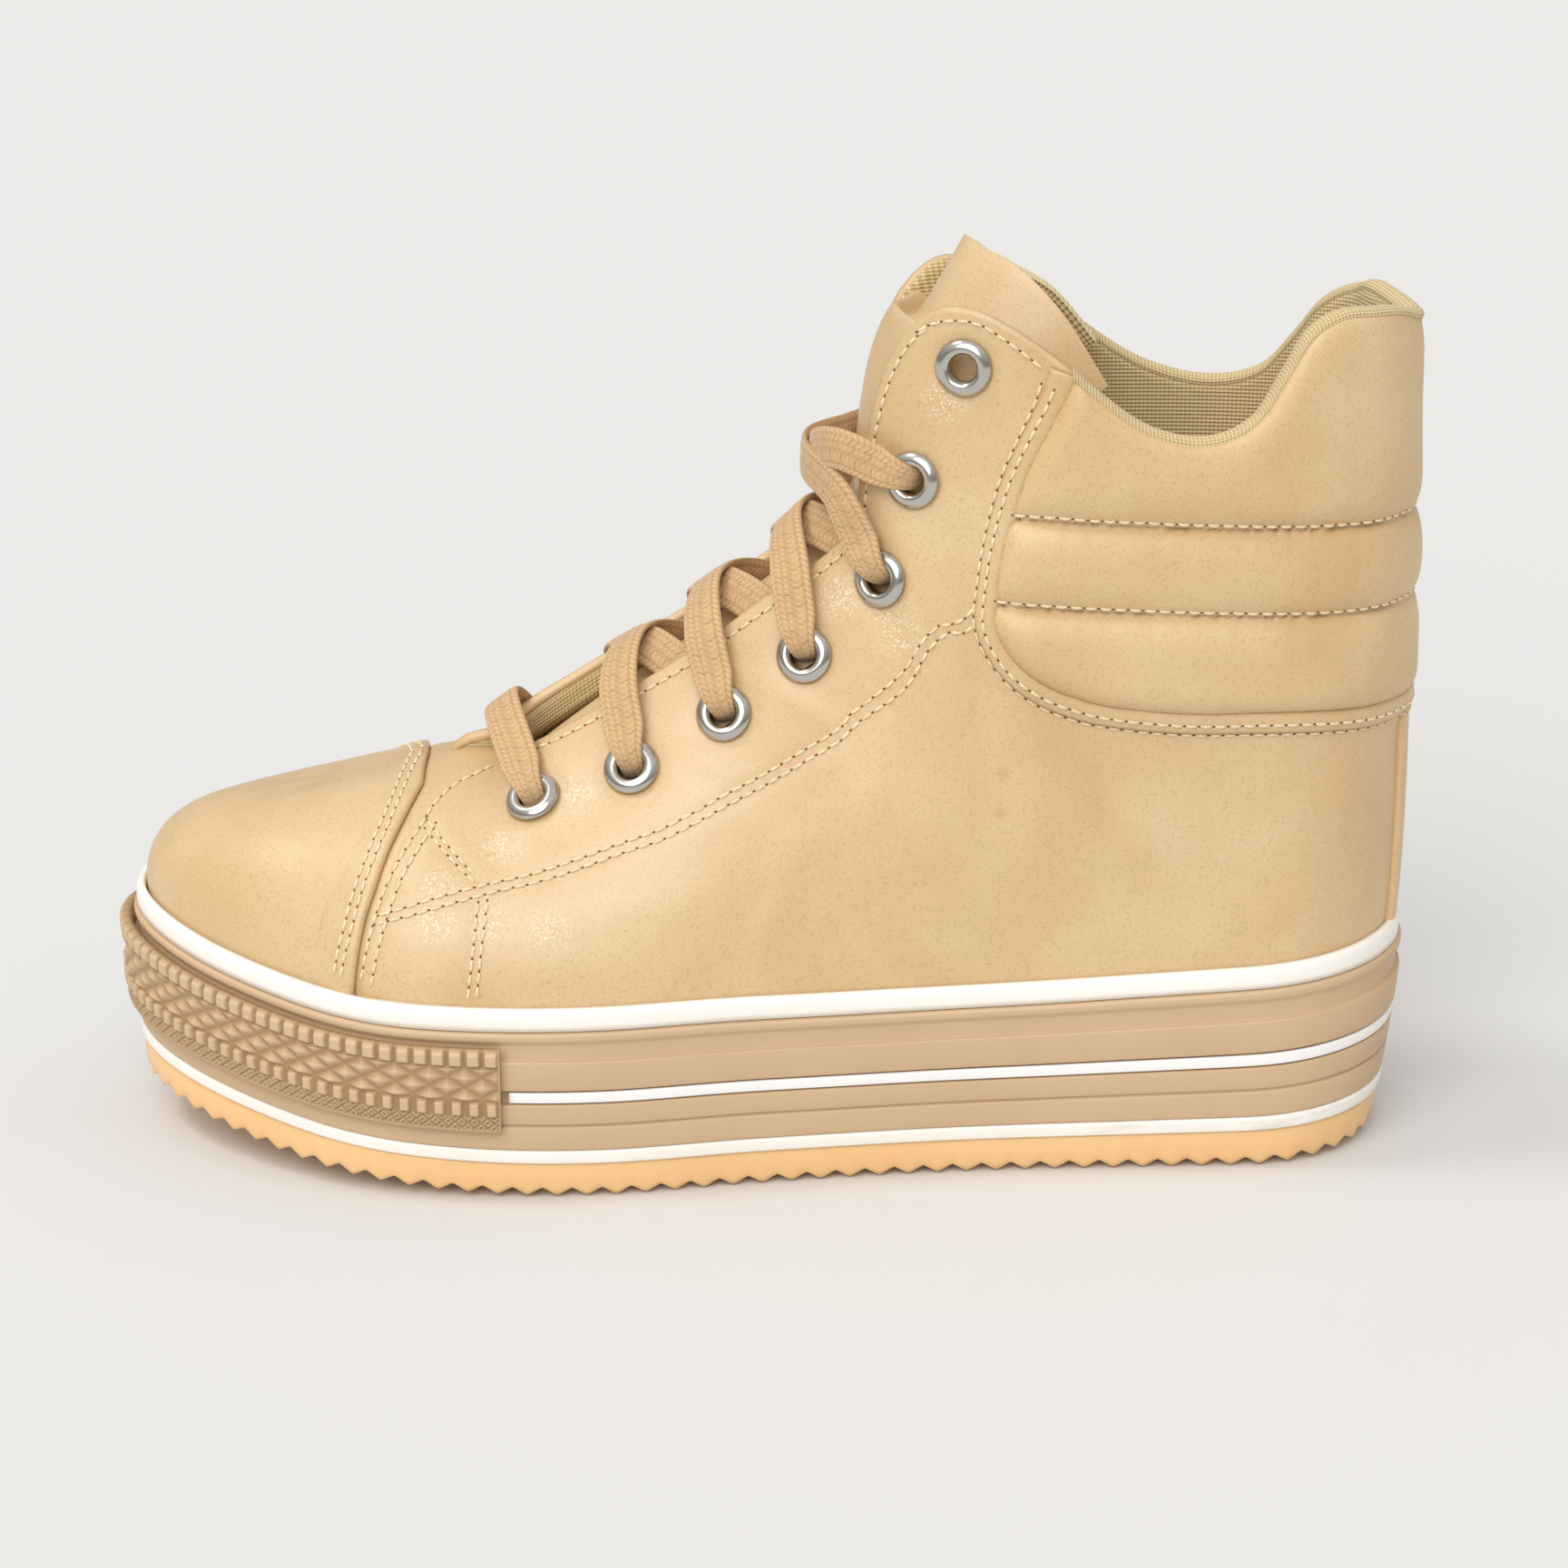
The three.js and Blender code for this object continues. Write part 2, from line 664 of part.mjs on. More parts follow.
// Distance along the plate, to space the blocks evenly
const plateLengths = [0];
const plateFine = 300;
let lastPlate = bumperSection(0, [[0.7, bumperOuter]])[0];
for (let i = 1; i <= plateFine; i += 1) {
  const p = bumperSection(i / plateFine, [[0.7, bumperOuter]])[0];
  plateLengths.push(plateLengths[i - 1] + p.distanceTo(lastPlate));
  lastPlate = p;
}
function plateShare(distance) {
  let i = 0;
  while (i < plateFine - 1 && plateLengths[i + 1] < distance) i += 1;
  const t = (distance - plateLengths[i]) / (plateLengths[i + 1] - plateLengths[i]);
  return (i + t) / plateFine;
}
const plateLength = plateLengths[plateFine];
const blockCount = Math.floor((plateLength - 2) / blockPitch);
const blockStart = (plateLength - (blockCount - 1) * blockPitch) / 2;
const blocks = [];
for (let b = 0; b < blockCount; b += 1) {
  const at = blockStart + b * blockPitch;
  const corners = [
    [blockLow, bumperOuter - 0.7], [blockHigh, bumperOuter - 0.7],
    [blockHigh, bumperOuter + blockProud], [blockLow, bumperOuter + blockProud],
  ];
  blocks.push(toManifold(sweepRings([
    bumperSection(plateShare(at - blockWidth / 2), corners),
    bumperSection(plateShare(at + blockWidth / 2), corners),
  ])));
}
const bumperPlate = [];
for (let b = 0; b <= blockCount; b += 2) {
  const at = b === 0 ? 0 : blockStart + (b - 0.5) * blockPitch;
  bumperPlate.push(bumperSection(plateShare(b + 2 > blockCount ? plateLength : at), [
    [bumperLow, bumperInner],
    [bumperHigh, bumperInner],
    [bumperHigh - 0.01, bumperOuter],
    [bumperLow + 0.01, bumperOuter],
  ]));
}
const bumper = Manifold.union([toManifold(sweepRings(bumperPlate)), ...blocks]);
add('toe_bumper', fromManifold(bumper), beigeRubber);

// The upper: one hollow shell, open at the collar, the throat and underneath
const upperRows = [0, 0.12, 0.28, 0.43, 0.58, 0.72, 0.86, 1];
function upperShell() {
  const us = [];
  for (let c = 0; c <= lastColumn; c += 1) {
    us.push(c);
    if (c === capColumn) us.push(c + 0.22);
  }
  const path = [...us.slice(1).reverse().map((u) => -u), ...us];
  const pos = [];
  const outBy = [];
  const inBy = [];
  path.forEach((u) => {
    upperRows.forEach((v) => {
      const capped = Math.abs(u) > capColumn + 0.1;
      pos.push(face(u, v));
      outBy.push(capped ? capStep : 0);
      inBy.push(wall);
    });
  });
  const idx = gridTriangles(path.length, upperRows.length);
  return solidFromSheet(pos, idx, outBy, inBy);
}

// Eyelet places: column numbers along the eyestay edge, bottom to top
const eyeletColumns = [23.85, 22.3, 20.95, 19.7, 18.0, 16.2, 13.4];
const eyeletSetbacks = [15.5, 16, 15, 14.5, 13, 18.2, 12];
const eyeletLifts = [0, 0.05, 0, 0, 0.4, 0.1, 0];
const eyeletPlaces = [];
eyeletColumns.forEach((u, k) => {
  [1, -1].forEach((side) => {
    const v = setbackToV(side * u, eyeletSetbacks[k]);
    eyeletPlaces.push({
      k: k + 1,
      side,
      u: side * u,
      v,
      p: face(side * u, v).addScaledVector(faceNormal(side * u, v), eyeletLifts[k]),
      n: faceNormal(side * u, v),
    });
  });
});
let upper = toManifold(upperShell());
eyeletPlaces.forEach((e) => {
  const hole = new THREE.CylinderGeometry(eyeletHole, eyeletHole, punchLength, 6);
  hole.applyQuaternion(new THREE.Quaternion().setFromUnitVectors(vec(0, 1, 0), e.n));
  hole.translate(e.p.x, e.p.y, e.p.z);
  upper = upper.subtract(toManifold(hole));
});
add('upper', fromManifold(upper), leather);

// Metal eyelets: a flange on the face and a barrel through the wall
eyeletPlaces.forEach((e) => {
  const profile = [
    [eyeletInner, eyeletSeat + 1], [eyeletInner, -1.6], [eyeletBarrel, -1.6],
    [eyeletBarrel, eyeletSeat], [eyeletOuter, eyeletSeat],
  ];
  const points = [...profile, profile[0]].map(([r, y]) => new THREE.Vector2(r, y));
  const ring = new THREE.LatheGeometry(points, 8);
  ring.applyQuaternion(new THREE.Quaternion().setFromUnitVectors(vec(0, 1, 0), e.n));
  ring.translate(e.p.x, e.p.y, e.p.z);
  ring.deleteAttribute('normal');
  ring.deleteAttribute('uv');
  const g = mergeVertices(ring, 1e-3);
  const body = solidFrom(Array.from(g.attributes.position.array), Array.from(g.index.array));
  add(`eyelet_${e.side > 0 ? 'lateral' : 'medial'}_${e.k}`, body, nickel);
});

// Collar pad: lower edge [column, height] and matching top column
const padEdge = [
  [0.0, 95.5, 0.00], [1.0, 95.6, 1.00], [2.0, 95.8, 2.00], [3.0, 96.2, 3.00],
  [4.2, 96.8, 4.10], [5.4, 97.2, 5.10], [6.6, 97.4, 6.10], [7.7, 97.5, 7.00],
  [8.6, 98.0, 7.80], [9.5, 99.0, 8.50], [10.4, 100.4, 9.20], [11.3, 102.4, 9.80],
  [12.1, 105.8, 10.00], [12.8, 110.5, 10.15], [13.2, 116.0, 10.30],
  [13.0, 122.5, 10.42], [12.55, 133.0, 10.55], [11.85, 147.0, 10.72],
];
// Each row across the pad: how full the padding is there
const padFill = [0, 0.8, 0.8, 0, 1, 0, 0.85, 1, 0.3];
const channelLow = (x) => channelLowHeight + channelRise * clamp(x / 88, 0, 1);
const channelHigh = (x) => channelHighHeight + channelRise * clamp(x / 84, 0, 1);
function padHeights(x, low, high) {
  const first = Math.max(channelLow(x), low + 0.14 * (high - low));
  const second = Math.max(channelHigh(x), first + 0.16 * (high - low));
  return [
    low, lerp(low, first, 0.3), lerp(low, first, 0.7), first, (first + second) / 2,
    second, lerp(second, high, 0.25), lerp(second, high, 0.65), high,
  ];
}
function padBody() {
  const path = [];
  for (let i = padEdge.length - 1; i > 0; i -= 1) path.push([-1, padEdge[i]]);
  padEdge.forEach((row) => path.push([1, row]));
  const pos = [];
  const outBy = [];
  const inBy = [];
  path.forEach(([side, [lowU, lowZ, topU]], c) => {
    const highZ = face(side * topU, 1).z;
    const near = face(side * lowU, heightToV(side * lowU, lowZ));
    const end = clamp(Math.min(c, path.length - 1 - c) / 3, 0.12, 1);
    const full = end * lerp(0.5, 1, clamp(lowU / 4, 0, 1)) * (padThick - padEdgeThick);
    padHeights(near.x, lowZ, highZ).forEach((z, r) => {
      const u = side * lerp(lowU, topU, (z - lowZ) / (highZ - lowZ));
      const v = r === padFill.length - 1 ? 1 : heightToV(u, z);
      pos.push(face(u, v));
      outBy.push(padGap + padEdgeThick + padFill[r] * full);
      inBy.push(-padGap);
    });
  });
  return solidFromSheet(pos, gridTriangles(path.length, padFill.length), outBy, inBy);
}
add('collar_pad', padBody(), leatherPad);

// Backstay: a strip down the heel below the pad
function backstayBody() {
  const us = [-2.2, -1.4, -0.7, 0, 0.7, 1.4, 2.2];
  const pos = [];
  us.forEach((u) => {
    for (let r = 0; r <= 5; r += 1) {
      const z = lerp(soleZ(0, 1) + foxingHeight + 1.2, backstayTop, r / 5);
      pos.push(face(u, heightToV(u, z)));
    }
  });
  const outs = pos.map(() => 1.5);
  const ins = pos.map(() => -0.4);
  return solidFromSheet(pos, gridTriangles(us.length, 6), outs, ins);
}
add('backstay', backstayBody(), leather);

// Centre of the throat between two column numbers, above the tongue
function throatCentre(u, lift) {
  const a = face(u, 1);
  const b = face(-u, 1);
  const mid = a.clone().add(b).multiplyScalar(0.5);
  const n = faceNormal(u, 0.97).add(faceNormal(-u, 0.97)).normalize();
  return { p: mid.addScaledVector(n, lift), n };
}

// Tongue: follows the throat under the laces, then stands free above it
// Each row: column, lift of its middle above the throat, setback and depth of its side
const tongueRows = [
  [27.0, -5.4, 15, 5.6], [25.6, -5.0, 15, 5.6], [24.4, -3.8, 16, 5.4], [23.4, -2.2, 16, 5.2],
  [22.3, -1.0, 16, 5.0], [21.2, -0.4, 16, 5.0], [20.1, 0.0, 16, 5.0], [19.0, 0.1, 15, 5.5],
  [17.9, 0.2, 15, 5.5], [16.8, 0.2, 15, 5.2], [15.8, 0.2, 15, 5.0], [14.8, 0.2, 14, 5.0],
];
// Each row above the throat: middle x, middle z, half width, side back, side drop
const tongueTop = [
  [100.5, 172.0, 23, 26, 16], [92.5, 188.0, 21, 28, 26],
];
function tongueSection(row) {
  if (row.length === 4) {
    const [u, lift, setback, depth] = row;
    const below = (side, back, by) => {
      const v = back > 0 ? setbackToV(side * u, back) : 1;
      return face(side * u, v).addScaledVector(faceNormal(side * u, v), -by);
    };
    const middle = throatCentre(u, lift);
    const left = below(-1, u < throatColumn ? 1 : 6, depth);
    const right = below(1, u < throatColumn ? 1 : 6, depth);
    return [
      below(-1, setback, depth), below(-1, setback * 0.55, depth), left,
      middle.p.clone().lerp(left, 0.45).addScaledVector(middle.n, 0.6), middle.p,
      middle.p.clone().lerp(right, 0.45).addScaledVector(middle.n, 0.6),
      right, below(1, setback * 0.55, depth), below(1, setback, depth),
    ];
  }
  const [x, z, half, back, down] = row;
  return [-1, -0.82, -0.58, -0.28, 0, 0.28, 0.58, 0.82, 1].map((w) => (
    vec(x - back * w * w, bend(x) * 0.6 + half * Math.sin(w * 1.35) / Math.sin(1.35), z - down * w ** 4)
  ));
}
function tongueBody() {
  const sections = [...tongueRows, ...tongueTop].map(tongueSection);
  const across = sections[0].length;
  const pos = [];
  for (let c = across - 1; c >= 0; c -= 1) sections.forEach((row) => pos.push(row[c]));
  const outs = pos.map(() => 0);
  const ins = pos.map(() => tongueThick);
  return solidFromSheet(pos, gridTriangles(across, sections.length), outs, ins);
}
add('tongue', tongueBody(), leather);

// Insole: lies on the sole inside the upper
function insoleRing(dz) {
  const ring = [];
  const count = 48;
  for (let i = 0; i < count; i += 1) {
    const k = (i / count) * 2 * Math.PI;
    const side = i <= count / 2 ? 1 : -1;
    const turn = side > 0 ? k : 2 * Math.PI - k;
    const share = rimPoint(turn, side, 0).p.x / soleLength;
    const { p } = rimPoint(turn, side, -(insetAt(share) + wall + 1.4));
    p.z = soleZ(p.x, 1) + dz;
    ring.push(p);
  }
  return ring;
}
add('insole', loftRings([insoleRing(gap), insoleRing(gap + insoleThick)]), innerMesh);

// Laces
// A flat band along points that carry their own face normal
function bandBody(stations) {
  const curve = new THREE.CatmullRomCurve3(stations.map((s) => s.p), false, 'centripetal');
  const steps = 2 * (stations.length - 1);
  const rings = [];
  for (let i = 0; i <= steps; i += 1) {
    const t = i / steps;
    const p = curve.getPoint(t);
    const d = curve.getTangent(t);
    const f = t * (stations.length - 1);
    const a = Math.min(Math.floor(f), stations.length - 2);
    const n = stations[a].n.clone().lerp(stations[a + 1].n, f - a);
    n.addScaledVector(d, -n.dot(d)).normalize();
    const across = d.clone().cross(n).normalize();
    const w = across.multiplyScalar(laceWidth / 2);
    const h = n.multiplyScalar(laceThick / 2);
    rings.push([
      p.clone().sub(w).sub(h), p.clone().add(w).sub(h),
      p.clone().add(w).add(h), p.clone().sub(w).add(h),
    ]);
  }
  return sweepRings(rings);
}
function laceStation(u, setback, lift) {
  const v = setback > 0 ? setbackToV(u, setback) : 1;
  const n = faceNormal(u, v);
  return { p: face(u, v).addScaledVector(n, lift), n };
}
const overEyelet = eyeletSeat + 1 + gap + laceThick / 2 + 0.45;
const overWall = gap + laceThick / 2 + 0.6;
const underWall = -(wall + gap + laceThick / 2 + 0.6);
function crossBand(k, side, lift) {
  const fromU = eyeletColumns[k];
  const toU = eyeletColumns[k + 1];
  const at = (t) => lerp(fromU, toU, t);
  return bandBody([
    laceStation(side * fromU, eyeletSetbacks[k], overEyelet),
    laceStation(side * at(0.12), eyeletSetbacks[k] * 0.5, overEyelet),
    laceStation(side * at(0.24), 0, overWall + 0.9),
    throatCentre(at(0.5), lift),
    laceStation(-side * at(0.76), 0.6, underWall),
    laceStation(-side * at(0.84), 4.5, underWall - 0.2),
  ]);
}
const crossLifts = [0, 5.6, 6.2, 7.2, 9.6];
const barLift = 8.4;
for (let k = 1; k <= 4; k += 1) {
  const nearBand = toManifold(crossBand(k, 1, crossLifts[k]));
  const farBand = toManifold(crossBand(k, -1, crossLifts[k] - 0.9));
  add(`lace_cross_${k + 1}`, fromManifold(nearBand.add(farBand)), laceFabric);
}
const barU = eyeletColumns[0];
const bar = bandBody([
  laceStation(barU, eyeletSetbacks[0], overEyelet),
  laceStation(barU, eyeletSetbacks[0] * 0.5, overEyelet),
  throatCentre(barU, barLift),
  laceStation(-barU, eyeletSetbacks[0] * 0.5, overEyelet),
  laceStation(-barU, eyeletSetbacks[0], overEyelet),
]);
add('lace_bar', bar, laceFabric);

// Stand the shoe on the floor, centred in plan
const box = new THREE.Box3().setFromObject(shoe);
const centre = box.getCenter(vec(0, 0, 0));
shoe.children.forEach((mesh) => mesh.geometry.translate(-centre.x, -centre.y, -box.min.z));

export default shoe;
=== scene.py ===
# %% [markdown]
# # A high-top platform sneaker
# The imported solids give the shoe's true size and place. This lesson dresses them:
# each solid is replaced by a finer piece worked out from the same named sizes, so the
# looks sit exactly where the solids are. Everything is in metres in the end, but the
# shoe is worked out in millimetres, as a shoemaker would.

# %% Load the frame
import math

import bpy
import numpy as np
from mathutils import Matrix, Vector, kdtree
from mathutils.bvhtree import BVHTree


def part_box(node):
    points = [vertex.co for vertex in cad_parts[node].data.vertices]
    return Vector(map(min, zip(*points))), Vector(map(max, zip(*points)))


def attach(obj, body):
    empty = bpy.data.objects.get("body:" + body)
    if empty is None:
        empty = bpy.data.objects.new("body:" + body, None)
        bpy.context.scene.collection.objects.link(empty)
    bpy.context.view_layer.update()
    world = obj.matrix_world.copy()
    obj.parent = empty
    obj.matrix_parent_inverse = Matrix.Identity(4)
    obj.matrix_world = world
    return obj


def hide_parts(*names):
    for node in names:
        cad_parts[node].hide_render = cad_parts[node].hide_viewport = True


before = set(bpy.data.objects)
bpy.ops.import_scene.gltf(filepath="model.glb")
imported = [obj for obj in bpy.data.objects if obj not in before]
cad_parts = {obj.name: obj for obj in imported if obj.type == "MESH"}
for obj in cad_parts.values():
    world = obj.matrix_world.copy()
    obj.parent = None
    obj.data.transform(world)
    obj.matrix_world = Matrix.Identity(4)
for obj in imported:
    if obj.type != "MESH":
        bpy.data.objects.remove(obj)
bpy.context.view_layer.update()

# %% [markdown]
# The camera comes first. The photograph looks at the outer side of the shoe from a
# little above, with the toe to the left, through a long lens. The point it aims at,
# its distance and its focal length were found by matching the outline of the solids.

# %% Camera
PHOTO = 1728
FOCAL_PIXELS = 5883
CAMERA_RISE = math.radians(18)
CAMERA_AWAY = 1.1
AIM = Vector((-0.00467, -0.00028, 0.0725))
BACK = Vector((0, math.cos(CAMERA_RISE), math.sin(CAMERA_RISE)))

camera = bpy.data.objects.new("camera", bpy.data.cameras.new("camera"))
bpy.context.scene.collection.objects.link(camera)
camera.data.lens = FOCAL_PIXELS / PHOTO * camera.data.sensor_width
camera.location = AIM + BACK * CAMERA_AWAY
camera.rotation_mode = "QUATERNION"
camera.rotation_quaternion = (-BACK).to_track_quat("-Z", "Y")
bpy.context.scene.camera = camera
print("camera: lens", round(camera.data.lens, 1), "mm")

# %% [markdown]
# The studio is a pale floor under a sky that is darker at its horizon and brighter above.
# Two far lights light the floor evenly: a broad, soft one above the camera and a little
# toward the toe, and a smaller one high over the toe, whose reflection gives the glossy
# parts of the upper their shine. The dark horizon gives the metal rings their dark bands.

# %% Studio
def linear(code, alpha=1.0):
    """A colour written as sRGB hex, in the linear numbers that a shader reads."""
    parts = [int(code[k:k + 2], 16) / 255 for k in (1, 3, 5)]
    turned = [c / 12.92 if c <= 0.04045 else ((c + 0.055) / 1.055) ** 2.4 for c in parts]
    return (*turned, alpha)


def add_node(tree, kind, inputs=None, **settings):
    """One shader node with its settings, and a value or a link on each named input."""
    made = tree.nodes.new("ShaderNode" + kind)
    for key, value in settings.items():
        setattr(made, key, value)
    for socket, value in (inputs or {}).items():
        if isinstance(value, bpy.types.NodeSocket):
            tree.links.new(value, made.inputs[socket])
        else:
            made.inputs[socket].default_value = value
    return made


def mix(tree, factor, *ends):
    """A colour from the first end to the second, each a hex code or a link."""
    first, second = (linear(end) if isinstance(end, str) else end for end in ends)
    return add_node(tree, "Mix", {0: factor, 6: first, 7: second}, data_type="RGBA").outputs[2]


def ranged(tree, value, low, high, to_low=0.0, to_high=1.0):
    """A value between low and high, brought to the range from to_low to to_high."""
    return add_node(tree, "MapRange", {
        "Value": value, "From Min": low, "From Max": high, "To Min": to_low, "To Max": to_high,
    }).outputs[0]


def combine(tree, operation, *values):
    return add_node(tree, "Math", dict(enumerate(values)), operation=operation).outputs[0]


def colour_by(tree, surface, shade):
    tree.links.new(shade, surface.inputs["Base Color"])


def deselect():
    for o in list(bpy.context.selected_objects):
        o.select_set(False)


def finish_material(name, sockets):
    """A new material with numbers set on the shader itself."""
    made = bpy.data.materials.new(name)
    made.use_nodes = True
    surface = made.node_tree.nodes["Principled BSDF"]
    for socket, value in sockets.items():
        surface.inputs[socket].default_value = value
    return made, made.node_tree, surface


def light(name, toward, spread, power):
    """A far light, seen in the direction toward, as wide in the sky as spread degrees."""
    data = bpy.data.lights.new(name, "SUN")
    data.angle = math.radians(spread)
    data.energy = power
    lamp = bpy.data.objects.new(name, data)
    bpy.context.scene.collection.objects.link(lamp)
    lamp.location = Vector(toward)
    lamp.rotation_mode = "QUATERNION"
    lamp.rotation_quaternion = (-Vector(toward)).to_track_quat("-Z", "Y")


bpy.context.scene.view_settings.view_transform = "Standard"
deselect()
bpy.ops.mesh.primitive_plane_add(size=14, location=(0, 0, -0.0004))
floor = bpy.context.object
floor.name = "studio_floor"
paper, paper_tree, paper_surface = finish_material("matte_paper", {"Roughness": 0.9})
paper_noise = add_node(paper_tree, "TexNoise", {"Scale": 3.0, "Detail": 1.0})
colour_by(paper_tree, paper_surface,
          mix(paper_tree, paper_noise.outputs["Fac"], "#DBDAD8", "#DDDCDA"))
floor.data.materials.append(paper)

world = bpy.data.worlds.new("studio_sky")
bpy.context.scene.world = world
world.use_nodes = True
sky_tree = world.node_tree
sky_height = add_node(sky_tree, "SeparateXYZ", {0: add_node(sky_tree, "TexCoord").outputs[0]})
sky_shade = mix(sky_tree, ranged(sky_tree, sky_height.outputs[2], 0.05, 0.75),
                "#9A9896", "#FFFFFF")
sky_tree.links.new(sky_shade, sky_tree.nodes["Background"].inputs["Color"])
sky_tree.nodes["Background"].inputs["Strength"].default_value = 0.78
light("front", (0.24, 0.84, 0.68), 45, 1.7)
light("over_toe", (0.5, 0.05, 0.86), 14, 0.6)
print("studio: floor, sky and 2 lights")

# %% [markdown]
# The shoe's plan is an outline: a half width at each share of the length, a sideways bend
# that makes it a left shoe, and round ends. The tables are short and smooth curves run
# through them. A maker's drawing of a last is read in the same way.

# %% Plan of the sole
SOLE_LENGTH = 264.4
OVERALL = 268.0
SOLE_HEIGHT = 36.0
SHAFT_HEIGHT = 142.0
BALL_HALF = 48.0
TOE_SPRING = 11.0
HEEL_LIFT = 2.2
CONTACT_FROM, CONTACT_TO = 42.0, 160.0
HEEL_ROUND, TOE_ROUND = 34.0, 62.0
GAP = 0.3
WALL = 2.0
UPPER_INSET, TOE_INSET = 3.6, 4.7

HALF_WIDTHS = [
    (0.00, 0.708), (0.08, 0.708), (0.20, 0.719), (0.35, 0.740), (0.50, 0.833),
    (0.62, 0.958), (0.72, 1.010), (0.82, 0.990), (0.91, 0.896), (1.00, 0.833),
]
BENDS = [
    (0.00, 0.000), (0.20, 0.010), (0.35, 0.031), (0.50, 0.052), (0.62, 0.052),
    (0.72, 0.021), (0.82, -0.042), (0.91, -0.104), (1.00, -0.167),
]
THICKNESS = [
    (-0.10, 1.12), (0.00, 1.12), (0.10, 1.10), (0.20, 1.06), (0.30, 1.02), (0.42, 1.00),
    (0.58, 1.00), (0.70, 0.98), (0.80, 0.945), (0.92, 0.945), (1.00, 0.97), (1.10, 0.97),
]


def smooth(table, x):
    """Smooth curve through rows of (position, value), read at the numbers x."""
    rows = np.asarray(table, float)
    at, value = rows[:, 0], rows[:, 1]
    step = np.diff(at)
    slope = np.diff(value) / step
    tangent = np.empty_like(value)
    tangent[0], tangent[-1] = slope[0], slope[-1]
    tangent[1:-1] = (slope[:-1] * step[1:] + slope[1:] * step[:-1]) / (step[:-1] + step[1:])
    x = np.asarray(x, float)
    i = np.clip(np.searchsorted(at, x) - 1, 0, len(at) - 2)
    h = step[i]
    t = (x - at[i]) / h
    return ((2 * t**3 - 3 * t**2 + 1) * value[i] + (t**3 - 2 * t**2 + t) * h * tangent[i]
            + (3 * t**2 - 2 * t**3) * value[i + 1] + (t**3 - t**2) * h * tangent[i + 1])


def smooth_rows(table, at):
    """Smooth curves through a table's rows, one for each of its columns, read at row numbers."""
    steps = np.arange(len(table))
    return [smooth(np.stack([steps, column], 1), at) for column in np.asarray(table).T]


def lerp(a, b, t):
    return a + (b - a) * t


def unit(v):
    return v / np.linalg.norm(v, axis=-1, keepdims=True)


def walk_along(line):
    """Distance walked along a line of points, up to each of them."""
    return np.concatenate([[0], np.cumsum(np.linalg.norm(np.diff(line, axis=0), axis=1))])


def row_at(share, table):
    """Number of the table's row that lies at a share of the way down it."""
    return np.rint(share * (len(table) - 1)).astype(int)


def side_of(signed):
    """1 on the outer side, where the number is 0 or more, and -1 on the inner side."""
    return np.where(signed < 0, -1.0, 1.0)


def tree_of(points):
    """A tree that finds the nearest of the points."""
    tree = kdtree.KDTree(len(points))
    for number, point in enumerate(points):
        tree.insert(point, number)
    tree.balance()
    return tree


def bend(x):
    return smooth(BENDS, x / SOLE_LENGTH) * BALL_HALF


def half_width(x):
    w = smooth(HALF_WIDTHS, x / SOLE_LENGTH) * BALL_HALF
    heel = np.clip((HEEL_ROUND - x) / HEEL_ROUND, 0, 1)
    toe = np.clip((x - SOLE_LENGTH + TOE_ROUND) / TOE_ROUND, 0, 1)
    return w * (1 - heel**2.1) ** (1 / 2.1) * (1 - toe**2.15) ** (1 / 2.15)


def outline(turn, side):
    """Point of the outline at a turn: 0 is the heel, pi the toe. Side is 1 outer, -1 inner."""
    x = SOLE_LENGTH / 2 * (1 - np.cos(turn))
    return np.stack([x, bend(x) + side * np.sign(np.sin(turn)) * half_width(x)], -1)


def rim(turn, side, off=0.0):
    """The outline moved outwards by off, and the direction outwards."""
    along = unit(outline(turn + 0.004, side) - outline(turn - 0.004, side))
    out = np.stack([along[..., 1], -along[..., 0]], -1) * -np.asarray(side, float)[..., None]
    return outline(turn, side) + out * np.asarray(off, float)[..., None], out


def inset_at(share):
    return lerp(UPPER_INSET, TOE_INSET, np.clip((share - 0.72) / 0.12, 0, 1))


def turn_at(share):
    return np.arccos(np.clip(1 - 2 * np.asarray(share, float), -1, 1))


def sole_bottom(x):
    toe = TOE_SPRING * (np.clip(x - CONTACT_TO, 0, None) / (SOLE_LENGTH - CONTACT_TO)) ** 2
    heel = HEEL_LIFT * (np.clip(CONTACT_FROM - x, 0, None) / CONTACT_FROM) ** 2
    return toe + heel


def sole_z(x, share):
    return sole_bottom(x) + smooth(THICKNESS, x / SOLE_LENGTH) * SOLE_HEIGHT * share


def side_point(turn, side, share, off=0.0, dz=0.0):
    """Point on the sole's side at a share of its height. The side leans in to the floor."""
    x = outline(turn, side)[..., 0]
    lean = -lerp(5.2, 1.6, np.clip(x / SOLE_LENGTH, 0, 1))
    p, _ = rim(turn, side, off + lean * (1 - np.minimum(1, share)) ** 1.3)
    return np.concatenate([p, (sole_z(p[..., 0], share) + dz)[..., None]], -1)


def round_the_shoe(w):
    """Share of the way round, 0 to 1 from the heel by the outer side, as turn and side."""
    return np.where(w <= 0.5, w, 1 - w) * 2 * np.pi, np.where(w <= 0.5, 1.0, -1.0)


def insole_off(share):
    return -(inset_at(share) + WALL + 1.4)


ring_turn, ring_side = round_the_shoe(np.arange(48) / 48)
ring_share = outline(ring_turn, ring_side)[:, 0] / SOLE_LENGTH
ring = rim(ring_turn, ring_side, insole_off(ring_share))[0]
packed_low = np.array(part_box("insole")[0])[:2] * 1000
MIDDLE = np.array([*(ring.min(0) - packed_low), 0.0])
print("middle of the shoe, mm:", MIDDLE.round(2))


def to_scene(points):
    return (np.asarray(points) - MIDDLE) / 1000


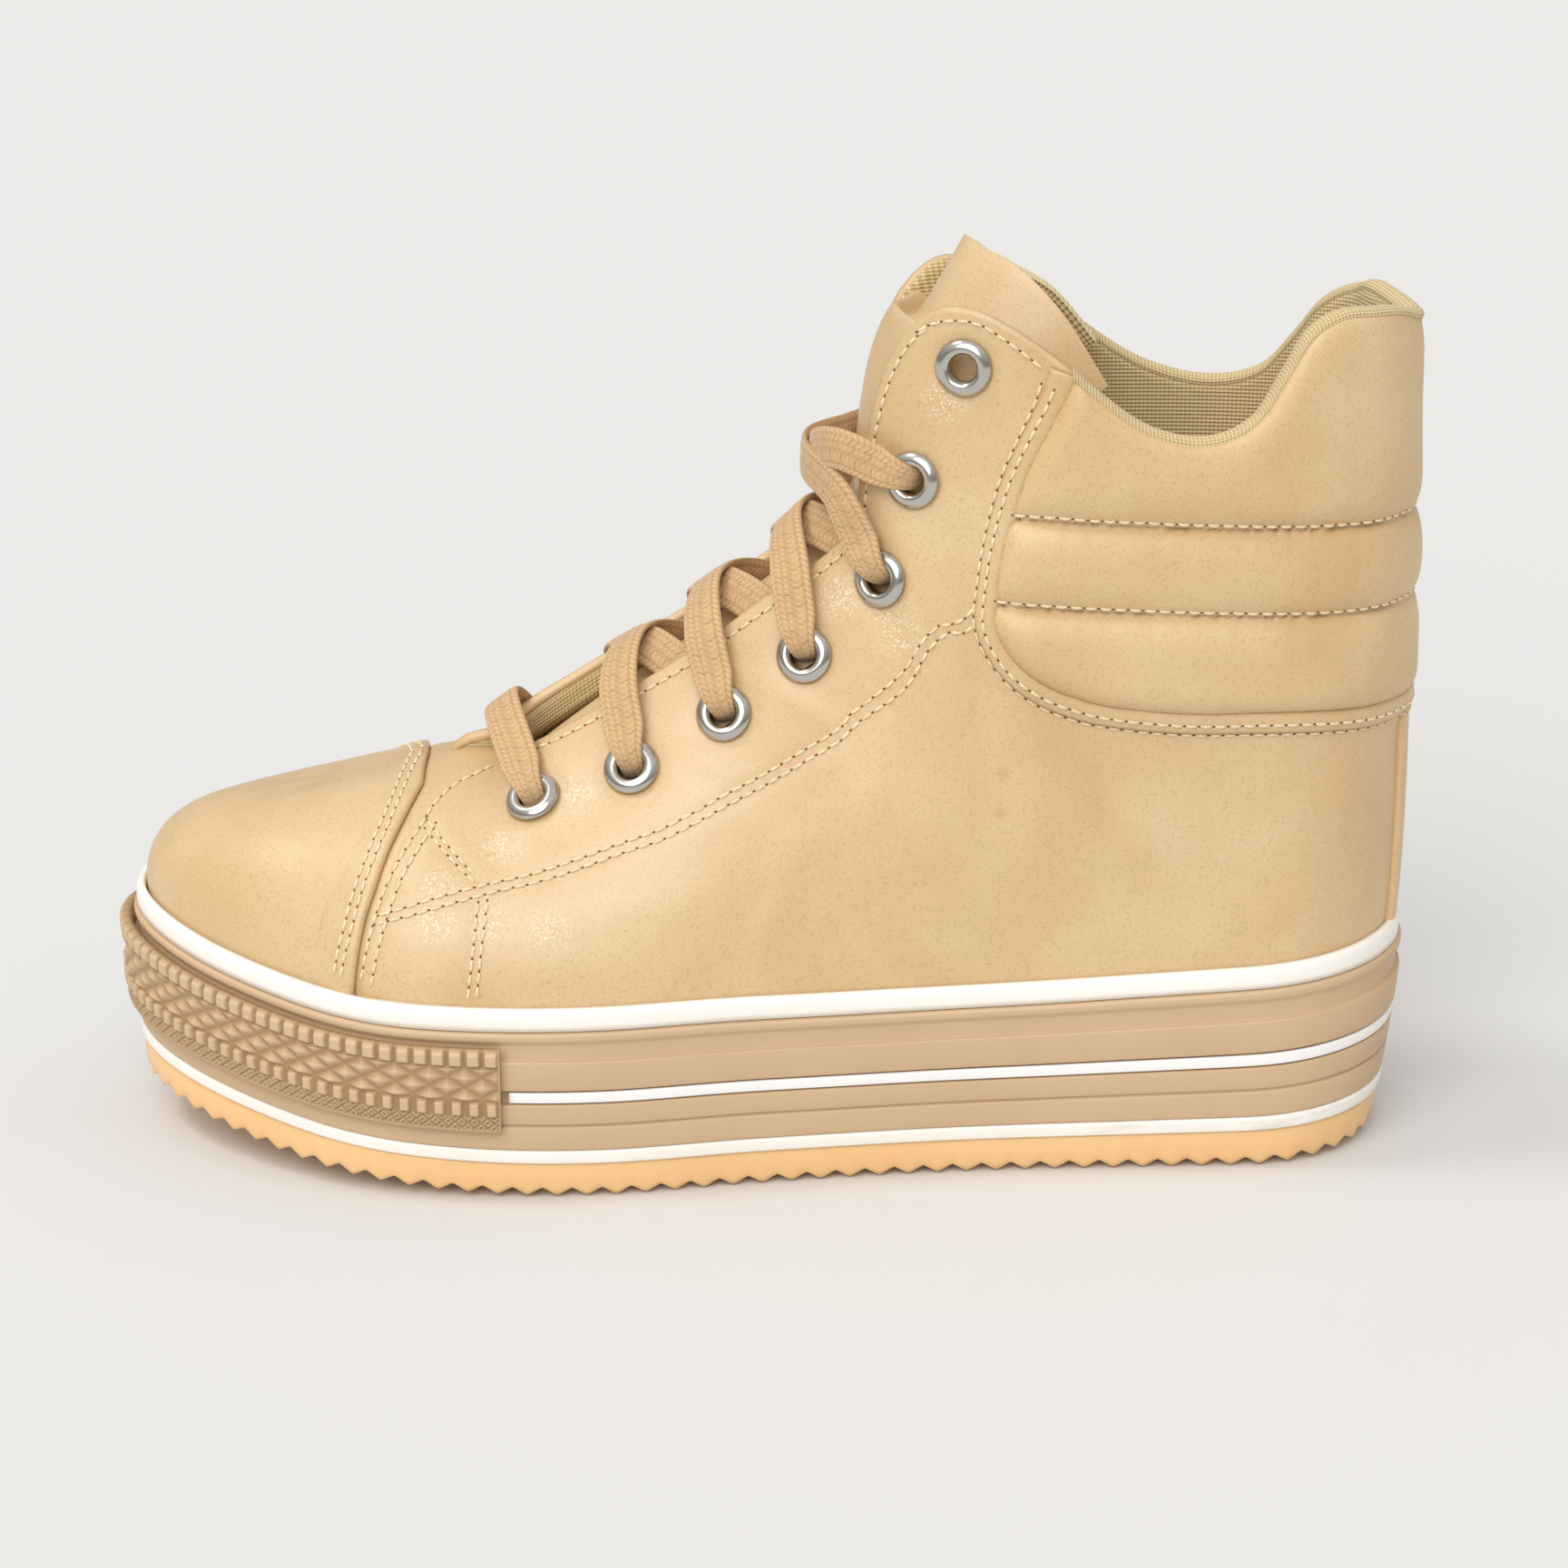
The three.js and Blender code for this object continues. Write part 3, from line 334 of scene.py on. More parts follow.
# %% [markdown]
# One helper makes nearly every piece. A skin is a grid primitive whose corners are moved
# onto a shape: it can be left open, as a sheet of leather is, or welded to itself round
# the shoe. Then its open ends are closed, and its faces are turned outwards.

# %% Skins
def edit(piece, *steps):
    """Runs edit mode steps on all of a piece's mesh."""
    deselect()
    piece.select_set(True)
    bpy.context.view_layer.objects.active = piece
    bpy.ops.object.mode_set(mode="EDIT")
    bpy.ops.mesh.select_all(action="SELECT")
    for step in steps:
        step()
    bpy.ops.object.mode_set(mode="OBJECT")


def apply_modifier(piece, kind, **settings):
    deselect()
    piece.select_set(True)
    bpy.context.view_layer.objects.active = piece
    made = piece.modifiers.new(kind.lower(), kind)
    for key, value in settings.items():
        setattr(made, key, value)
    bpy.ops.object.modifier_apply(modifier=made.name)


def skin(name, cols, rows, place, closed=False, weld=0.02, marks=None):
    """A grid of cols by rows faces, moved by place(s, t) in millimetres, s and t from 0 to 1.
    place returns the points, and where a pattern follows the surface, its flat map too."""
    deselect()
    bpy.ops.mesh.primitive_grid_add(x_subdivisions=cols, y_subdivisions=rows, size=2)
    piece = bpy.context.object
    piece.name = piece.data.name = name
    mesh = piece.data
    flat = np.empty(len(mesh.vertices) * 3)
    mesh.vertices.foreach_get("co", flat)
    flat = flat.reshape(-1, 3)
    s, t = (flat[:, 0] + 1) / 2, (flat[:, 1] + 1) / 2
    placed = place(s, t)
    if isinstance(placed, tuple):
        placed, charted, *values = placed
        loop_vertex = np.empty(len(mesh.loops), int)
        mesh.loops.foreach_get("vertex_index", loop_vertex)
        mesh.uv_layers.active.data.foreach_set("uv", (charted / 1000)[loop_vertex].ravel())
        for key, value in zip(marks or [], values):
            mesh.attributes.new(key, "FLOAT", "POINT").data.foreach_set("value", value)
    mesh.vertices.foreach_set("co", to_scene(placed).ravel())
    mesh.update()
    steps = [lambda: bpy.ops.mesh.remove_doubles(threshold=weld / 1000)]
    if closed:
        steps += [
            lambda: (bpy.ops.mesh.select_all(action="DESELECT"),
                     bpy.ops.mesh.select_non_manifold(extend=False),
                     bpy.ops.mesh.fill(use_beauty=False)
                     if any_selected(piece) else None),
            lambda: bpy.ops.mesh.select_all(action="SELECT"),
            lambda: bpy.ops.mesh.normals_make_consistent(inside=False),
        ]
    edit(piece, *steps)
    bpy.ops.object.shade_smooth()
    return piece


def any_selected(piece):
    piece.update_from_editmode()
    return any(e.select for e in piece.data.edges)


def dress(piece, material, slot, *nodes):
    """The piece gets its finish, rides on the shoe and stands for its solids."""
    if not piece.data.materials:
        piece.data.materials.append(material)
    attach(piece, "root")
    if nodes:
        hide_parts(*nodes)
    print(piece.name, "faces:", len(piece.data.polygons))


def soften(corners, radius=0.35):
    """Rows of (share of the height, offset) with each inner corner rounded over."""
    rows = [np.array([share * SOLE_HEIGHT, off]) for share, off in corners]
    out = [rows[0]]
    for a, b, c in zip(rows, rows[1:], rows[2:]):
        before, after = np.linalg.norm(a - b), np.linalg.norm(c - b)
        reach = min(radius, 0.45 * before, 0.45 * after)
        p, q = b + (a - b) / before * reach, b + (c - b) / after * reach
        out += [p, (p + q) / 4 + b / 2, q]
    return [(h / SOLE_HEIGHT, off) for h, off in [*out, rows[-1]]]


# %% [markdown]
# The sole is moulded rubber in several layers. Rubber that was moulded has softly rounded
# edges, a very fine texture from the mould and a dull sheen. The white bands are the same
# rubber with more pigment, and they pick up grey scuffs. The tread is gum rubber, whose
# amber colour is lit from inside at thin edges.

# %% Rubber finishes
def object_place(tree):
    return add_node(tree, "TexCoord").outputs["Object"]


def bump_into(tree, surface, height, strength, distance):
    made = add_node(tree, "Bump", {
        "Height": height, "Strength": strength, "Distance": distance,
    })
    tree.links.new(made.outputs["Normal"], surface.inputs["Normal"])


def moulded_rubber(name, light_hex, dark_hex, sockets, grain_mm=0.35, dirt_hex=None):
    """Rubber: two close shades in soft clouds, a fine mould grain and, on white, scuffs."""
    made, tree, surface = finish_material(name, sockets)
    place = object_place(tree)
    cloud = add_node(tree, "TexNoise", {"Vector": place, "Scale": 45, "Detail": 4})
    shade = mix(tree, cloud.outputs["Fac"], dark_hex, light_hex)
    if dirt_hex:
        long_place = add_node(tree, "Mapping", {"Vector": place, "Scale": (0.35, 1, 1.6)})
        smear = add_node(tree, "TexNoise", {
            "Vector": long_place.outputs[0], "Scale": 110, "Detail": 6, "Roughness": 0.7,
        })
        patch = add_node(tree, "TexNoise", {"Vector": place, "Scale": 16, "Detail": 1})
        both = combine(tree, "MULTIPLY", smear.outputs["Fac"], patch.outputs["Fac"])
        mask = ranged(tree, both, 0.31, 0.44, 0.0, 0.5)
        shoe_x = add_node(tree, "SeparateXYZ", {0: place}).outputs[0]
        rearward = ranged(tree, shoe_x, -0.02, -0.055, 0.04)
        shade = mix(tree, combine(tree, "MULTIPLY", mask, rearward), shade, dirt_hex)
    colour_by(tree, surface, shade)
    grain = add_node(tree, "TexNoise", {
        "Vector": place, "Scale": 1000 / grain_mm, "Detail": 2,
    })
    bump_into(tree, surface, grain.outputs["Fac"], 0.25, 0.00005)
    return made


beige_rubber = moulded_rubber(
    "moulded_beige_rubber", "#D3B591", "#CAAB86",
    {"Roughness": 0.5, "IOR": 1.52, "Specular IOR Level": 0.45},
)
white_rubber = moulded_rubber(
    "moulded_white_rubber", "#FBF7F0", "#F6F1E8",
    {"Roughness": 0.42, "IOR": 1.52, "Specular IOR Level": 0.5}, dirt_hex="#B9B0A2",
)
inlay_rubber = moulded_rubber(
    "painted_white_inlay", "#FBFAF8", "#F6F4F1",
    {"Roughness": 0.35, "IOR": 1.5, "Specular IOR Level": 0.5},
)
gum_rubber = moulded_rubber(
    "gum_rubber", "#FCD09A", "#F4C184",
    {"Roughness": 0.4, "IOR": 1.52, "Subsurface Weight": 0.35, "Subsurface Scale": 0.004,
     "Subsurface Radius": (1.0, 0.55, 0.2), "Specular IOR Level": 0.5},
)
print("rubber finishes: 4")

# %% [markdown]
# Each layer of the sole is a loft: one section goes round the shoe, from the middle of
# its underside out to the edge, up the side with its grooves and lips, and back to the
# middle of its top. The two halves meet on the middle line and are welded there.

# %% Layers of the sole
GUM_TOP, WHITE_TOP = 0.195, 0.281
GROOVE_LOW, GROOVE_HIGH, GROOVE_DEPTH = 0.567, 0.653, 1.6
LEDGE, LEDGE_DEPTH = 0.831, 1.1
STACK_GAP = 0.25


def layer(name, section, cols=520, low_dz=0.0):
    """Loft of rows (share, offset); the first and last rows are closed to the middle."""
    rows = [(1.0, *section[0]), *[(0.0, *row) for row in section], (1.0, *section[-1])]
    table = np.array(rows)
    last = len(rows) - 1

    def place(s, t):
        k = np.rint(t * last).astype(int)
        turn, side = round_the_shoe(s)
        p = side_point(turn, side, table[k, 1], table[k, 2], np.where(k < 2, low_dz, 0))
        p[:, 1] = lerp(p[:, 1], bend(p[:, 0]), table[k, 0])
        return p

    return skin(name, cols, last, place, closed=True)


midsole = layer("midsole_block", soften([
    (WHITE_TOP, -0.3), (WHITE_TOP + 0.01, 0), (0.425, 0), (0.4355, -0.9), (0.446, 0),
    (GROOVE_LOW, 0), (GROOVE_LOW + 0.002, -GROOVE_DEPTH), (GROOVE_HIGH - 0.002, -GROOVE_DEPTH),
    (GROOVE_HIGH, 0), (LEDGE, 0), (LEDGE + 0.004, -LEDGE_DEPTH), (0.93, -LEDGE_DEPTH),
    (0.955, -0.35), (0.99, -0.4), (1, -1.2),
]), low_dz=STACK_GAP)
dress(midsole, beige_rubber, "beige_rubber", "midsole")
band = layer("white_lower_band", soften([
    (GUM_TOP, -0.3), (GUM_TOP + 0.012, 0.2), (WHITE_TOP - 0.012, 0.2), (WHITE_TOP, -0.3),
]), low_dz=STACK_GAP)
dress(band, white_rubber, "white_rubber", "lower_band")

# %% [markdown]
# The tread has small V teeth all round its edge and zigzag grooves underneath. Its grid
# has eight faces to a tooth, and the heights of teeth and grooves are worked out for each
# corner, which keeps the underside flat where the shoe stands.

# %% Tread
TOOTH_PITCH, TOOTH_DEPTH, TOOTH_REACH = 5.9, 1.5, 7.0
fine = np.linspace(0, 1, 1441)
fine_ring = side_point(*round_the_shoe(fine), 0.0, -0.5)
walked = walk_along(fine_ring)
tooth_count = 2 * round(walked[-1] / TOOTH_PITCH / 2)


def evenly(s):
    """Share of the way round with equal steps in millimetres on each side."""
    half = walked[720]
    target = np.where(s <= 0.5, s * 2 * half, half + (s - 0.5) * 2 * (walked[-1] - half))
    return np.interp(target, walked, fine)


def zigzag(x, period):
    return np.abs(2 * ((x / period) % 1.0) - 1)


INNER_ROWS, TOOTH_ROWS, SIDE_ROWS = 40, 7, 7


def tread_place(s, t):
    k = np.rint(t * (INNER_ROWS + TOOTH_ROWS + SIDE_ROWS + 1))
    turn, side = round_the_shoe(evenly(s))
    edge = side_point(turn, side, 0.0, -0.5)
    inner = side_point(turn, side, 0.0, -TOOTH_REACH)
    top = side_point(turn, side, GUM_TOP, -0.6)
    tooth = np.clip(1.15 * (1 - zigzag(s * tooth_count, 1.0)) - 0.08, 0, 1) * TOOTH_DEPTH
    across = np.clip(k / INNER_ROWS, 0, 1)[:, None]
    spine = inner.copy()
    spine[:, 1] = bend(spine[:, 0])
    p = lerp(spine, inner, across)
    groove = np.abs((p[:, 0] + 5 * zigzag(p[:, 1], 15)) / 7.5 % 1 - 0.5) * 7.5
    depth = 1.2 * np.clip((1.5 - groove) / 0.8, 0, 1) * np.clip((1 - across[:, 0]) * 16, 0, 1)
    p[:, 2] = sole_bottom(p[:, 0]) + depth
    in_teeth = k > INNER_ROWS
    out = np.clip((k - INNER_ROWS) / TOOTH_ROWS, 0, 1)[:, None]
    q = lerp(inner, edge, out)
    q[:, 2] = sole_bottom(q[:, 0]) + tooth * out[:, 0]
    p[in_teeth] = q[in_teeth]
    up = np.clip((k - INNER_ROWS - TOOTH_ROWS) / SIDE_ROWS, 0, 1)
    r = lerp(edge, top, up[:, None])
    r[:, 2] = lerp(sole_bottom(edge[:, 0]) + tooth, top[:, 2], up)
    r[:, :2] += (edge - inner)[:, :2] / TOOTH_REACH * (0.35 * np.sin(np.pi * up))[:, None]
    on_side = k > INNER_ROWS + TOOTH_ROWS
    p[on_side] = r[on_side]
    lid = k > INNER_ROWS + TOOTH_ROWS + SIDE_ROWS
    p[lid] = np.stack([top[:, 0], bend(top[:, 0]), top[:, 2]], -1)[lid]
    return p


tread = skin("gum_tread", tooth_count * 8, INNER_ROWS + TOOTH_ROWS + SIDE_ROWS + 1,
             tread_place, closed=True)
dress(tread, gum_rubber, "gum_sole", "outsole")
print("teeth:", tooth_count)

# %% [markdown]
# Strips that lie against the side, such as the white inlay, are swept: a closed section
# with rounded corners follows the outline from one end to the other.

# %% White inlay
BUMPER_START, BUMPER_THICK = 0.70, 1.35


def closed_section(corners, radius):
    return soften([corners[-1], *corners, corners[0]], radius)[1:-1]


def swept(name, steps, section, path):
    """Closed section of (share, offset) rows swept along path(s) = turn, side."""
    table = np.array([*section, section[0]])
    last = len(table) - 1

    def place(s, t):
        k = np.rint(t * last).astype(int)
        turn, side = path(s)
        return side_point(turn, side, table[k, 0], table[k, 1])

    return skin(name, steps, last, place, closed=True)


def stripe_path(s):
    signed = lerp(-1, 1, s) * turn_at(BUMPER_START - 0.006)
    return np.abs(signed), np.where(signed >= 0, 1.0, -1.0)


stripe = swept("white_inlay", 420, closed_section([
    (GROOVE_LOW + 0.011, -GROOVE_DEPTH + GAP), (GROOVE_HIGH - 0.011, -GROOVE_DEPTH + GAP),
    (GROOVE_HIGH - 0.011, -0.1), (GROOVE_LOW + 0.011, -0.1),
], 0.3), stripe_path)
dress(stripe, inlay_rubber, "white_rubber", "side_stripe")

# %% [markdown]
# The toe bumper is one moulded strip with a relief: a row of square blocks, a lattice of
# low pyramids, a row of narrower blocks and a band of tiny crossed grooves with dots. The
# relief is a height for each corner of a fine grid, fourteen corners to a block, so that
# the blocks repeat exactly and their edges stay soft like rubber. The height is kept as
# an attribute too: the finish paints shade into the colour, darker in the low places.

# %% Toe bumper
BUMPER_LOW, BUMPER_HIGH = 0.412, 0.923
BUMPER_INNER = GAP + 0.05
BUMPER_OUTER = BUMPER_INNER + BUMPER_THICK
BLOCK_PITCH, BLOCK_PROUD = 3.48, 1.1
bumper_turn = float(turn_at(BUMPER_START))


def toe_path(k):
    turn = bumper_turn + k * 2 * (np.pi - bumper_turn)
    return np.where(turn <= np.pi, turn, 2 * np.pi - turn), np.where(turn <= np.pi, 1.0, -1.0)


plate_k = np.linspace(0, 1, 801)
plate_line = side_point(*toe_path(plate_k), 0.7, BUMPER_OUTER)
plate_walk = walk_along(plate_line)
block_count = int((plate_walk[-1] - 1) / BLOCK_PITCH)
PLATE_ROWS = 76
plate_tall = (BUMPER_HIGH - BUMPER_LOW) * SOLE_HEIGHT * 0.95


def ramp(x, low, high):
    return np.clip((x - low) / (high - low), 0, 1)


def relief(a, y, from_end):
    """Height in mm; a counts blocks, y is the distance below the strip's top edge."""
    along = np.abs((a % 1) - 0.5)
    tall_block = ramp(0.4 - along, 0, 0.09)
    short_block = ramp(0.32 - along, 0, 0.09)
    h = tall_block * np.minimum(ramp(y, 0.05, 1.0) * 0.75 + 0.25, ramp(3.5 - y, 0, 0.35))
    h = np.where(y < 3.55, h * BLOCK_PROUD, 0)
    p, q = a / 2, (y - 3.7) / 4.3
    cross = np.minimum(np.abs((p + q + 0.5) % 1 - 0.5), np.abs((p - q + 0.5) % 1 - 0.5))
    fade = np.minimum(ramp(y, 3.7, 4.1), ramp(10.9 - y, 0, 0.4))
    h += np.where((y >= 3.6) & (y < 10.95), 2.2 * cross * fade, 0)
    row = np.minimum(ramp(y, 11.0, 11.4), ramp(14.1 - y, 0, 0.35))
    h += short_block * row * 1.05
    p, q = a * BLOCK_PITCH / 2.6, (y - 14.3) / 2.2
    one, two = (p + q) % 1 - 0.5, (p - q) % 1 - 0.5
    tiny = np.minimum(ramp(0.5 - np.abs(one), 0.03, 0.16), ramp(0.5 - np.abs(two), 0.03, 0.16))
    dot = ramp(0.24 - np.hypot(one, two), 0, 0.12)
    h += np.where((y >= 14.2) & (y < 16.9), 0.6 * tiny - 0.6 * dot, 0)
    edge = np.maximum(ramp(0.45 - from_end, 0, 0.1), ramp(y, 16.9, 17.0))
    return np.maximum(h * ramp(from_end, 0.4, 0.6), 0.45 * edge)


def bumper_place(s, t):
    k = np.rint(t * (PLATE_ROWS + 5)).astype(int)
    walk = lerp(0, plate_walk[-1], s)
    turn, side = toe_path(np.interp(walk, plate_walk, plate_k))
    down = np.clip((k - 2) / PLATE_ROWS, 0, 1)
    share = lerp(BUMPER_HIGH, BUMPER_LOW, down)
    from_end = np.minimum(walk, plate_walk[-1] - walk)
    height = relief(s * block_count, down * plate_tall, from_end)
    off = BUMPER_OUTER - 0.15 * np.isin(k, [2, PLATE_ROWS + 2]) + height
    off = np.where((k < 2) | (k > PLATE_ROWS + 2), BUMPER_OUTER - 0.5, off)
    off = np.where((k == 0) | (k >= PLATE_ROWS + 4), BUMPER_INNER, off)
    share = np.where(k == PLATE_ROWS + 5, BUMPER_HIGH, share)
    flat = np.stack([walk, down * plate_tall], -1)
    return side_point(turn, side, share, off), flat, np.clip(height / 0.9, 0, 1)


bumper = skin("toe_bumper_strip", block_count * 14, PLATE_ROWS + 5, bumper_place, closed=True,
              weld=0.005, marks=["raised"])
relief_rubber, relief_tree, relief_surface = finish_material("moulded_relief_rubber", {
    "Roughness": 0.48, "IOR": 1.52, "Specular IOR Level": 0.5,
})
# Painted shade: the colour darkens from the raised tops into the low places of the relief
raised = add_node(relief_tree, "Attribute", attribute_name="raised")
colour_by(relief_tree, relief_surface,
          mix(relief_tree, raised.outputs["Fac"], "#A9855A", "#D0B28C"))
relief_grain = add_node(relief_tree, "TexNoise", {
    "Vector": object_place(relief_tree), "Scale": 2600, "Detail": 2,
})
bump_into(relief_tree, relief_surface, relief_grain.outputs["Fac"], 0.2, 0.00005)
dress(bumper, relief_rubber, "beige_rubber", "toe_bumper")
print("blocks in a row:", block_count)

# %% [markdown]
# The upper is read from one function. A column number u runs from the heel to the toe,
# and v from the foot line to the top edge or the ridge. Each column is a curve whose
# ends and handles come from a short table of shares of the shoe's named sizes.

# %% The upper's function
# Columns: foot's share of the length, top's share of it, top's half width, top's height,
# handle's rise and bulge at the foot, handle's reach and drop at the top
COLUMNS = np.array([
    [0.000, 0.010, 0.000, 0.958, 0.155, 0.078, 0.000, 0.26],
    [0.005, 0.015, 0.155, 0.966, 0.155, 0.078, 0.000, 0.26],
    [0.022, 0.030, 0.290, 0.982, 0.155, 0.072, 0.000, 0.26],
    [0.050, 0.048, 0.400, 0.989, 0.160, 0.070, 0.000, 0.26],
    [0.078, 0.074, 0.480, 0.990, 0.165, 0.060, 0.000, 0.26],
    [0.100, 0.096, 0.530, 0.966, 0.170, 0.060, 0.000, 0.25],
    [0.122, 0.114, 0.565, 0.912, 0.175, 0.060, 0.000, 0.24],
    [0.145, 0.137, 0.600, 0.848, 0.175, 0.060, 0.000, 0.23],
    [0.175, 0.172, 0.630, 0.823, 0.175, 0.060, 0.000, 0.22],
    [0.210, 0.213, 0.640, 0.840, 0.175, 0.060, 0.000, 0.23],
    [0.243, 0.251, 0.632, 0.890, 0.180, 0.060, 0.010, 0.24],
    [0.267, 0.276, 0.620, 0.933, 0.190, 0.060, 0.030, 0.25],
    [0.288, 0.313, 0.583, 0.979, 0.200, 0.065, 0.060, 0.26],
    [0.306, 0.343, 0.530, 1.002, 0.205, 0.070, 0.090, 0.25],
    [0.319, 0.368, 0.480, 0.999, 0.210, 0.075, 0.150, 0.22],
    [0.330, 0.392, 0.417, 0.958, 0.210, 0.080, 0.260, 0.17],
    [0.340, 0.409, 0.375, 0.887, 0.210, 0.080, 0.360, 0.13],
    [0.354, 0.421, 0.350, 0.782, 0.210, 0.080, 0.400, 0.10],
    [0.373, 0.428, 0.330, 0.683, 0.210, 0.080, 0.380, 0.10],
    [0.399, 0.455, 0.305, 0.623, 0.210, 0.075, 0.340, 0.10],
    [0.437, 0.500, 0.285, 0.560, 0.205, 0.070, 0.310, 0.10],
    [0.485, 0.549, 0.265, 0.489, 0.195, 0.065, 0.305, 0.10],
    [0.545, 0.597, 0.245, 0.430, 0.180, 0.060, 0.310, 0.09],
    [0.616, 0.646, 0.210, 0.370, 0.165, 0.055, 0.350, 0.07],
    [0.672, 0.679, 0.140, 0.332, 0.155, 0.045, 0.430, 0.045],
    [0.705, 0.698, 0.000, 0.318, 0.150, 0.040, 0.520, 0.020],
    [0.754, 0.724, 0.000, 0.316, 0.150, 0.045, 0.510, 0.014],
    [0.799, 0.748, 0.000, 0.304, 0.148, 0.055, 0.500, 0.010],
    [0.835, 0.775, 0.000, 0.293, 0.142, 0.065, 0.490, 0.010],
    [0.875, 0.798, 0.000, 0.280, 0.134, 0.075, 0.480, 0.010],
    [0.915, 0.818, 0.000, 0.268, 0.126, 0.085, 0.465, 0.010],
    [0.950, 0.834, 0.000, 0.258, 0.118, 0.092, 0.450, 0.010],
    [0.976, 0.847, 0.000, 0.251, 0.113, 0.097, 0.435, 0.010],
    [0.993, 0.856, 0.000, 0.248, 0.110, 0.100, 0.425, 0.010],
    [1.000, 0.862, 0.000, 0.246, 0.110, 0.100, 0.420, 0.010],
])
MEDIAL_BACK = [(0, 0), (2, 0), (4, -0.024), (6, -0.026), (8, -0.016), (10, 0)]
MEDIAL_LOWER = [(0, 0), (2, -0.01), (4, -0.038), (6, -0.034), (8, -0.014), (10, 0)]
LAST_COLUMN = len(COLUMNS) - 1
THROAT_COLUMN = 25


def face(u, v):
    """Point of the upper's outer face; u is + on the outer side and - on the inner."""
    u, v = np.broadcast_arrays(np.asarray(u, float), np.asarray(v, float))
    side = side_of(u)
    a = np.clip(np.abs(u), 0, LAST_COLUMN)
    foot_x, top_x, top_y, top_z, rise, bulge, reach, drop = smooth_rows(COLUMNS, a)
    p, out = rim(turn_at(foot_x), side, -inset_at(foot_x))
    p0 = np.concatenate([p, (sole_z(p[..., 0], 1.0) + GAP + 0.1)[..., None]], -1)
    inner = (side < 0) & (a < 10)
    x3 = (top_x + np.where(inner, smooth(MEDIAL_BACK, a), 0)) * OVERALL
    y3 = bend(x3) * 0.6 + np.where(a >= THROAT_COLUMN, 0, side * top_y * BALL_HALF)
    z3 = SOLE_HEIGHT + (top_z + np.where(inner, smooth(MEDIAL_LOWER, a), 0)) * SHAFT_HEIGHT
    p3 = np.stack([x3, y3, z3], -1)
    plan = unit(p0[..., :2] - p3[..., :2])
    p1, p2 = p0.copy(), p3.copy()
    p1[..., :2] += out * (bulge * BALL_HALF)[..., None]
    p1[..., 2] += rise * SHAFT_HEIGHT
    p2[..., :2] += plan * (reach * BALL_HALF)[..., None]
    p2[..., 2] -= drop * SHAFT_HEIGHT
    v, w = v[..., None], 1 - v[..., None]
    return w**3 * p0 + 3 * w**2 * v * p1 + 3 * w * v**2 * p2 + v**3 * p3


def face_normal(u, v):
    v = np.clip(v, 0.01, 0.99)
    du = face(u + 0.02, v) - face(u - 0.02, v)
    dv = face(u, v + 0.01) - face(u, v - 0.01)
    return unit(np.cross(dv, du))


def seam_normal(u, v):
    """The normal, shared by both sides where they meet on the ridge and at the toe."""
    n = face_normal(u, v)
    meets = (v > 0.995) & (np.abs(u) >= THROAT_COLUMN) | (np.abs(u) > LAST_COLUMN - 0.01)
    n[meets] = unit(n[meets] + face_normal(-u[meets], v[meets]))
    return n


def halve(test, shape):
    """v between 0 and 1 where the test turns false, by halving."""
    low, high = np.zeros(shape), np.ones(shape)
    for _ in range(22):
        middle = (low + high) / 2
        below = test(middle)
        low, high = np.where(below, middle, low), np.where(below, high, middle)
    return (low + high) / 2


def height_to_v(u, z):
    u, z = np.broadcast_arrays(np.asarray(u, float), np.asarray(z, float))
    return halve(lambda v: face(u, v)[..., 2] < z, u.shape)


def setback_to_v(u, distance):
    u = np.asarray(u, float)
    top = face(u, 1.0)
    return halve(lambda v: np.linalg.norm(face(u, v) - top, axis=-1) > distance, u.shape)


print("upper's function: columns", LAST_COLUMN + 1, "heel height mm", face(0, 1.0)[2].round(1))

# %% [markdown]
# The stitch rows are known by where they show in the photograph. Each point of a row is
# brought back onto the shoe: of all points of the upper's outer side, the one that the
# camera sees at that place. The inner side of the shoe gets the same rows mirrored.

# %% Where the camera sees the upper
EYE = np.array(camera.location) * 1000 + MIDDLE
VIEW_UP = np.array([0, -math.sin(CAMERA_RISE), math.cos(CAMERA_RISE)])


def seen_at(points):
    """Place in the photograph, in its own pixels."""
    ray = np.asarray(points) - EYE
    depth = -(ray @ np.array(BACK))
    return np.stack([PHOTO / 2 - FOCAL_PIXELS * ray[..., 0] / depth,
                     PHOTO / 2 - FOCAL_PIXELS * (ray @ VIEW_UP) / depth], -1)


sight_u, sight_v = np.meshgrid(np.linspace(0, LAST_COLUMN, 700), np.linspace(0, 1, 220))
sight = seen_at(face(sight_u, sight_v))
facing = (face_normal(sight_u, sight_v) @ np.array(BACK)) > 0.02
sight[~facing] = 1e6


def on_upper(row):
    """Columns u and v of photograph points (x, y), nearest first and then refined."""
    found = []
    for x, y in row:
        at = np.unravel_index(np.argmin((sight[..., 0] - x)**2 + (sight[..., 1] - y)**2),
                              sight_u.shape)
        u, v = sight_u[at], sight_v[at]
        for _ in range(4):
            here = seen_at(face(u, v))
            by_u = (seen_at(face(u + 0.02, v)) - here) / 0.02
            by_v = (seen_at(face(u, min(v + 0.005, 1))) - seen_at(face(u, v - 0.005))) / (
                min(v + 0.005, 1) - v + 0.005)
            du, dv = np.linalg.lstsq(np.stack([by_u, by_v], 1), [x, y] - here, rcond=None)[0]
            u = float(np.clip(u + np.clip(du, -0.3, 0.3), 0, LAST_COLUMN))
            v = float(np.clip(v + np.clip(dv, -0.05, 0.05), 0, 1))
        found.append((u, v))
    return np.array(found)


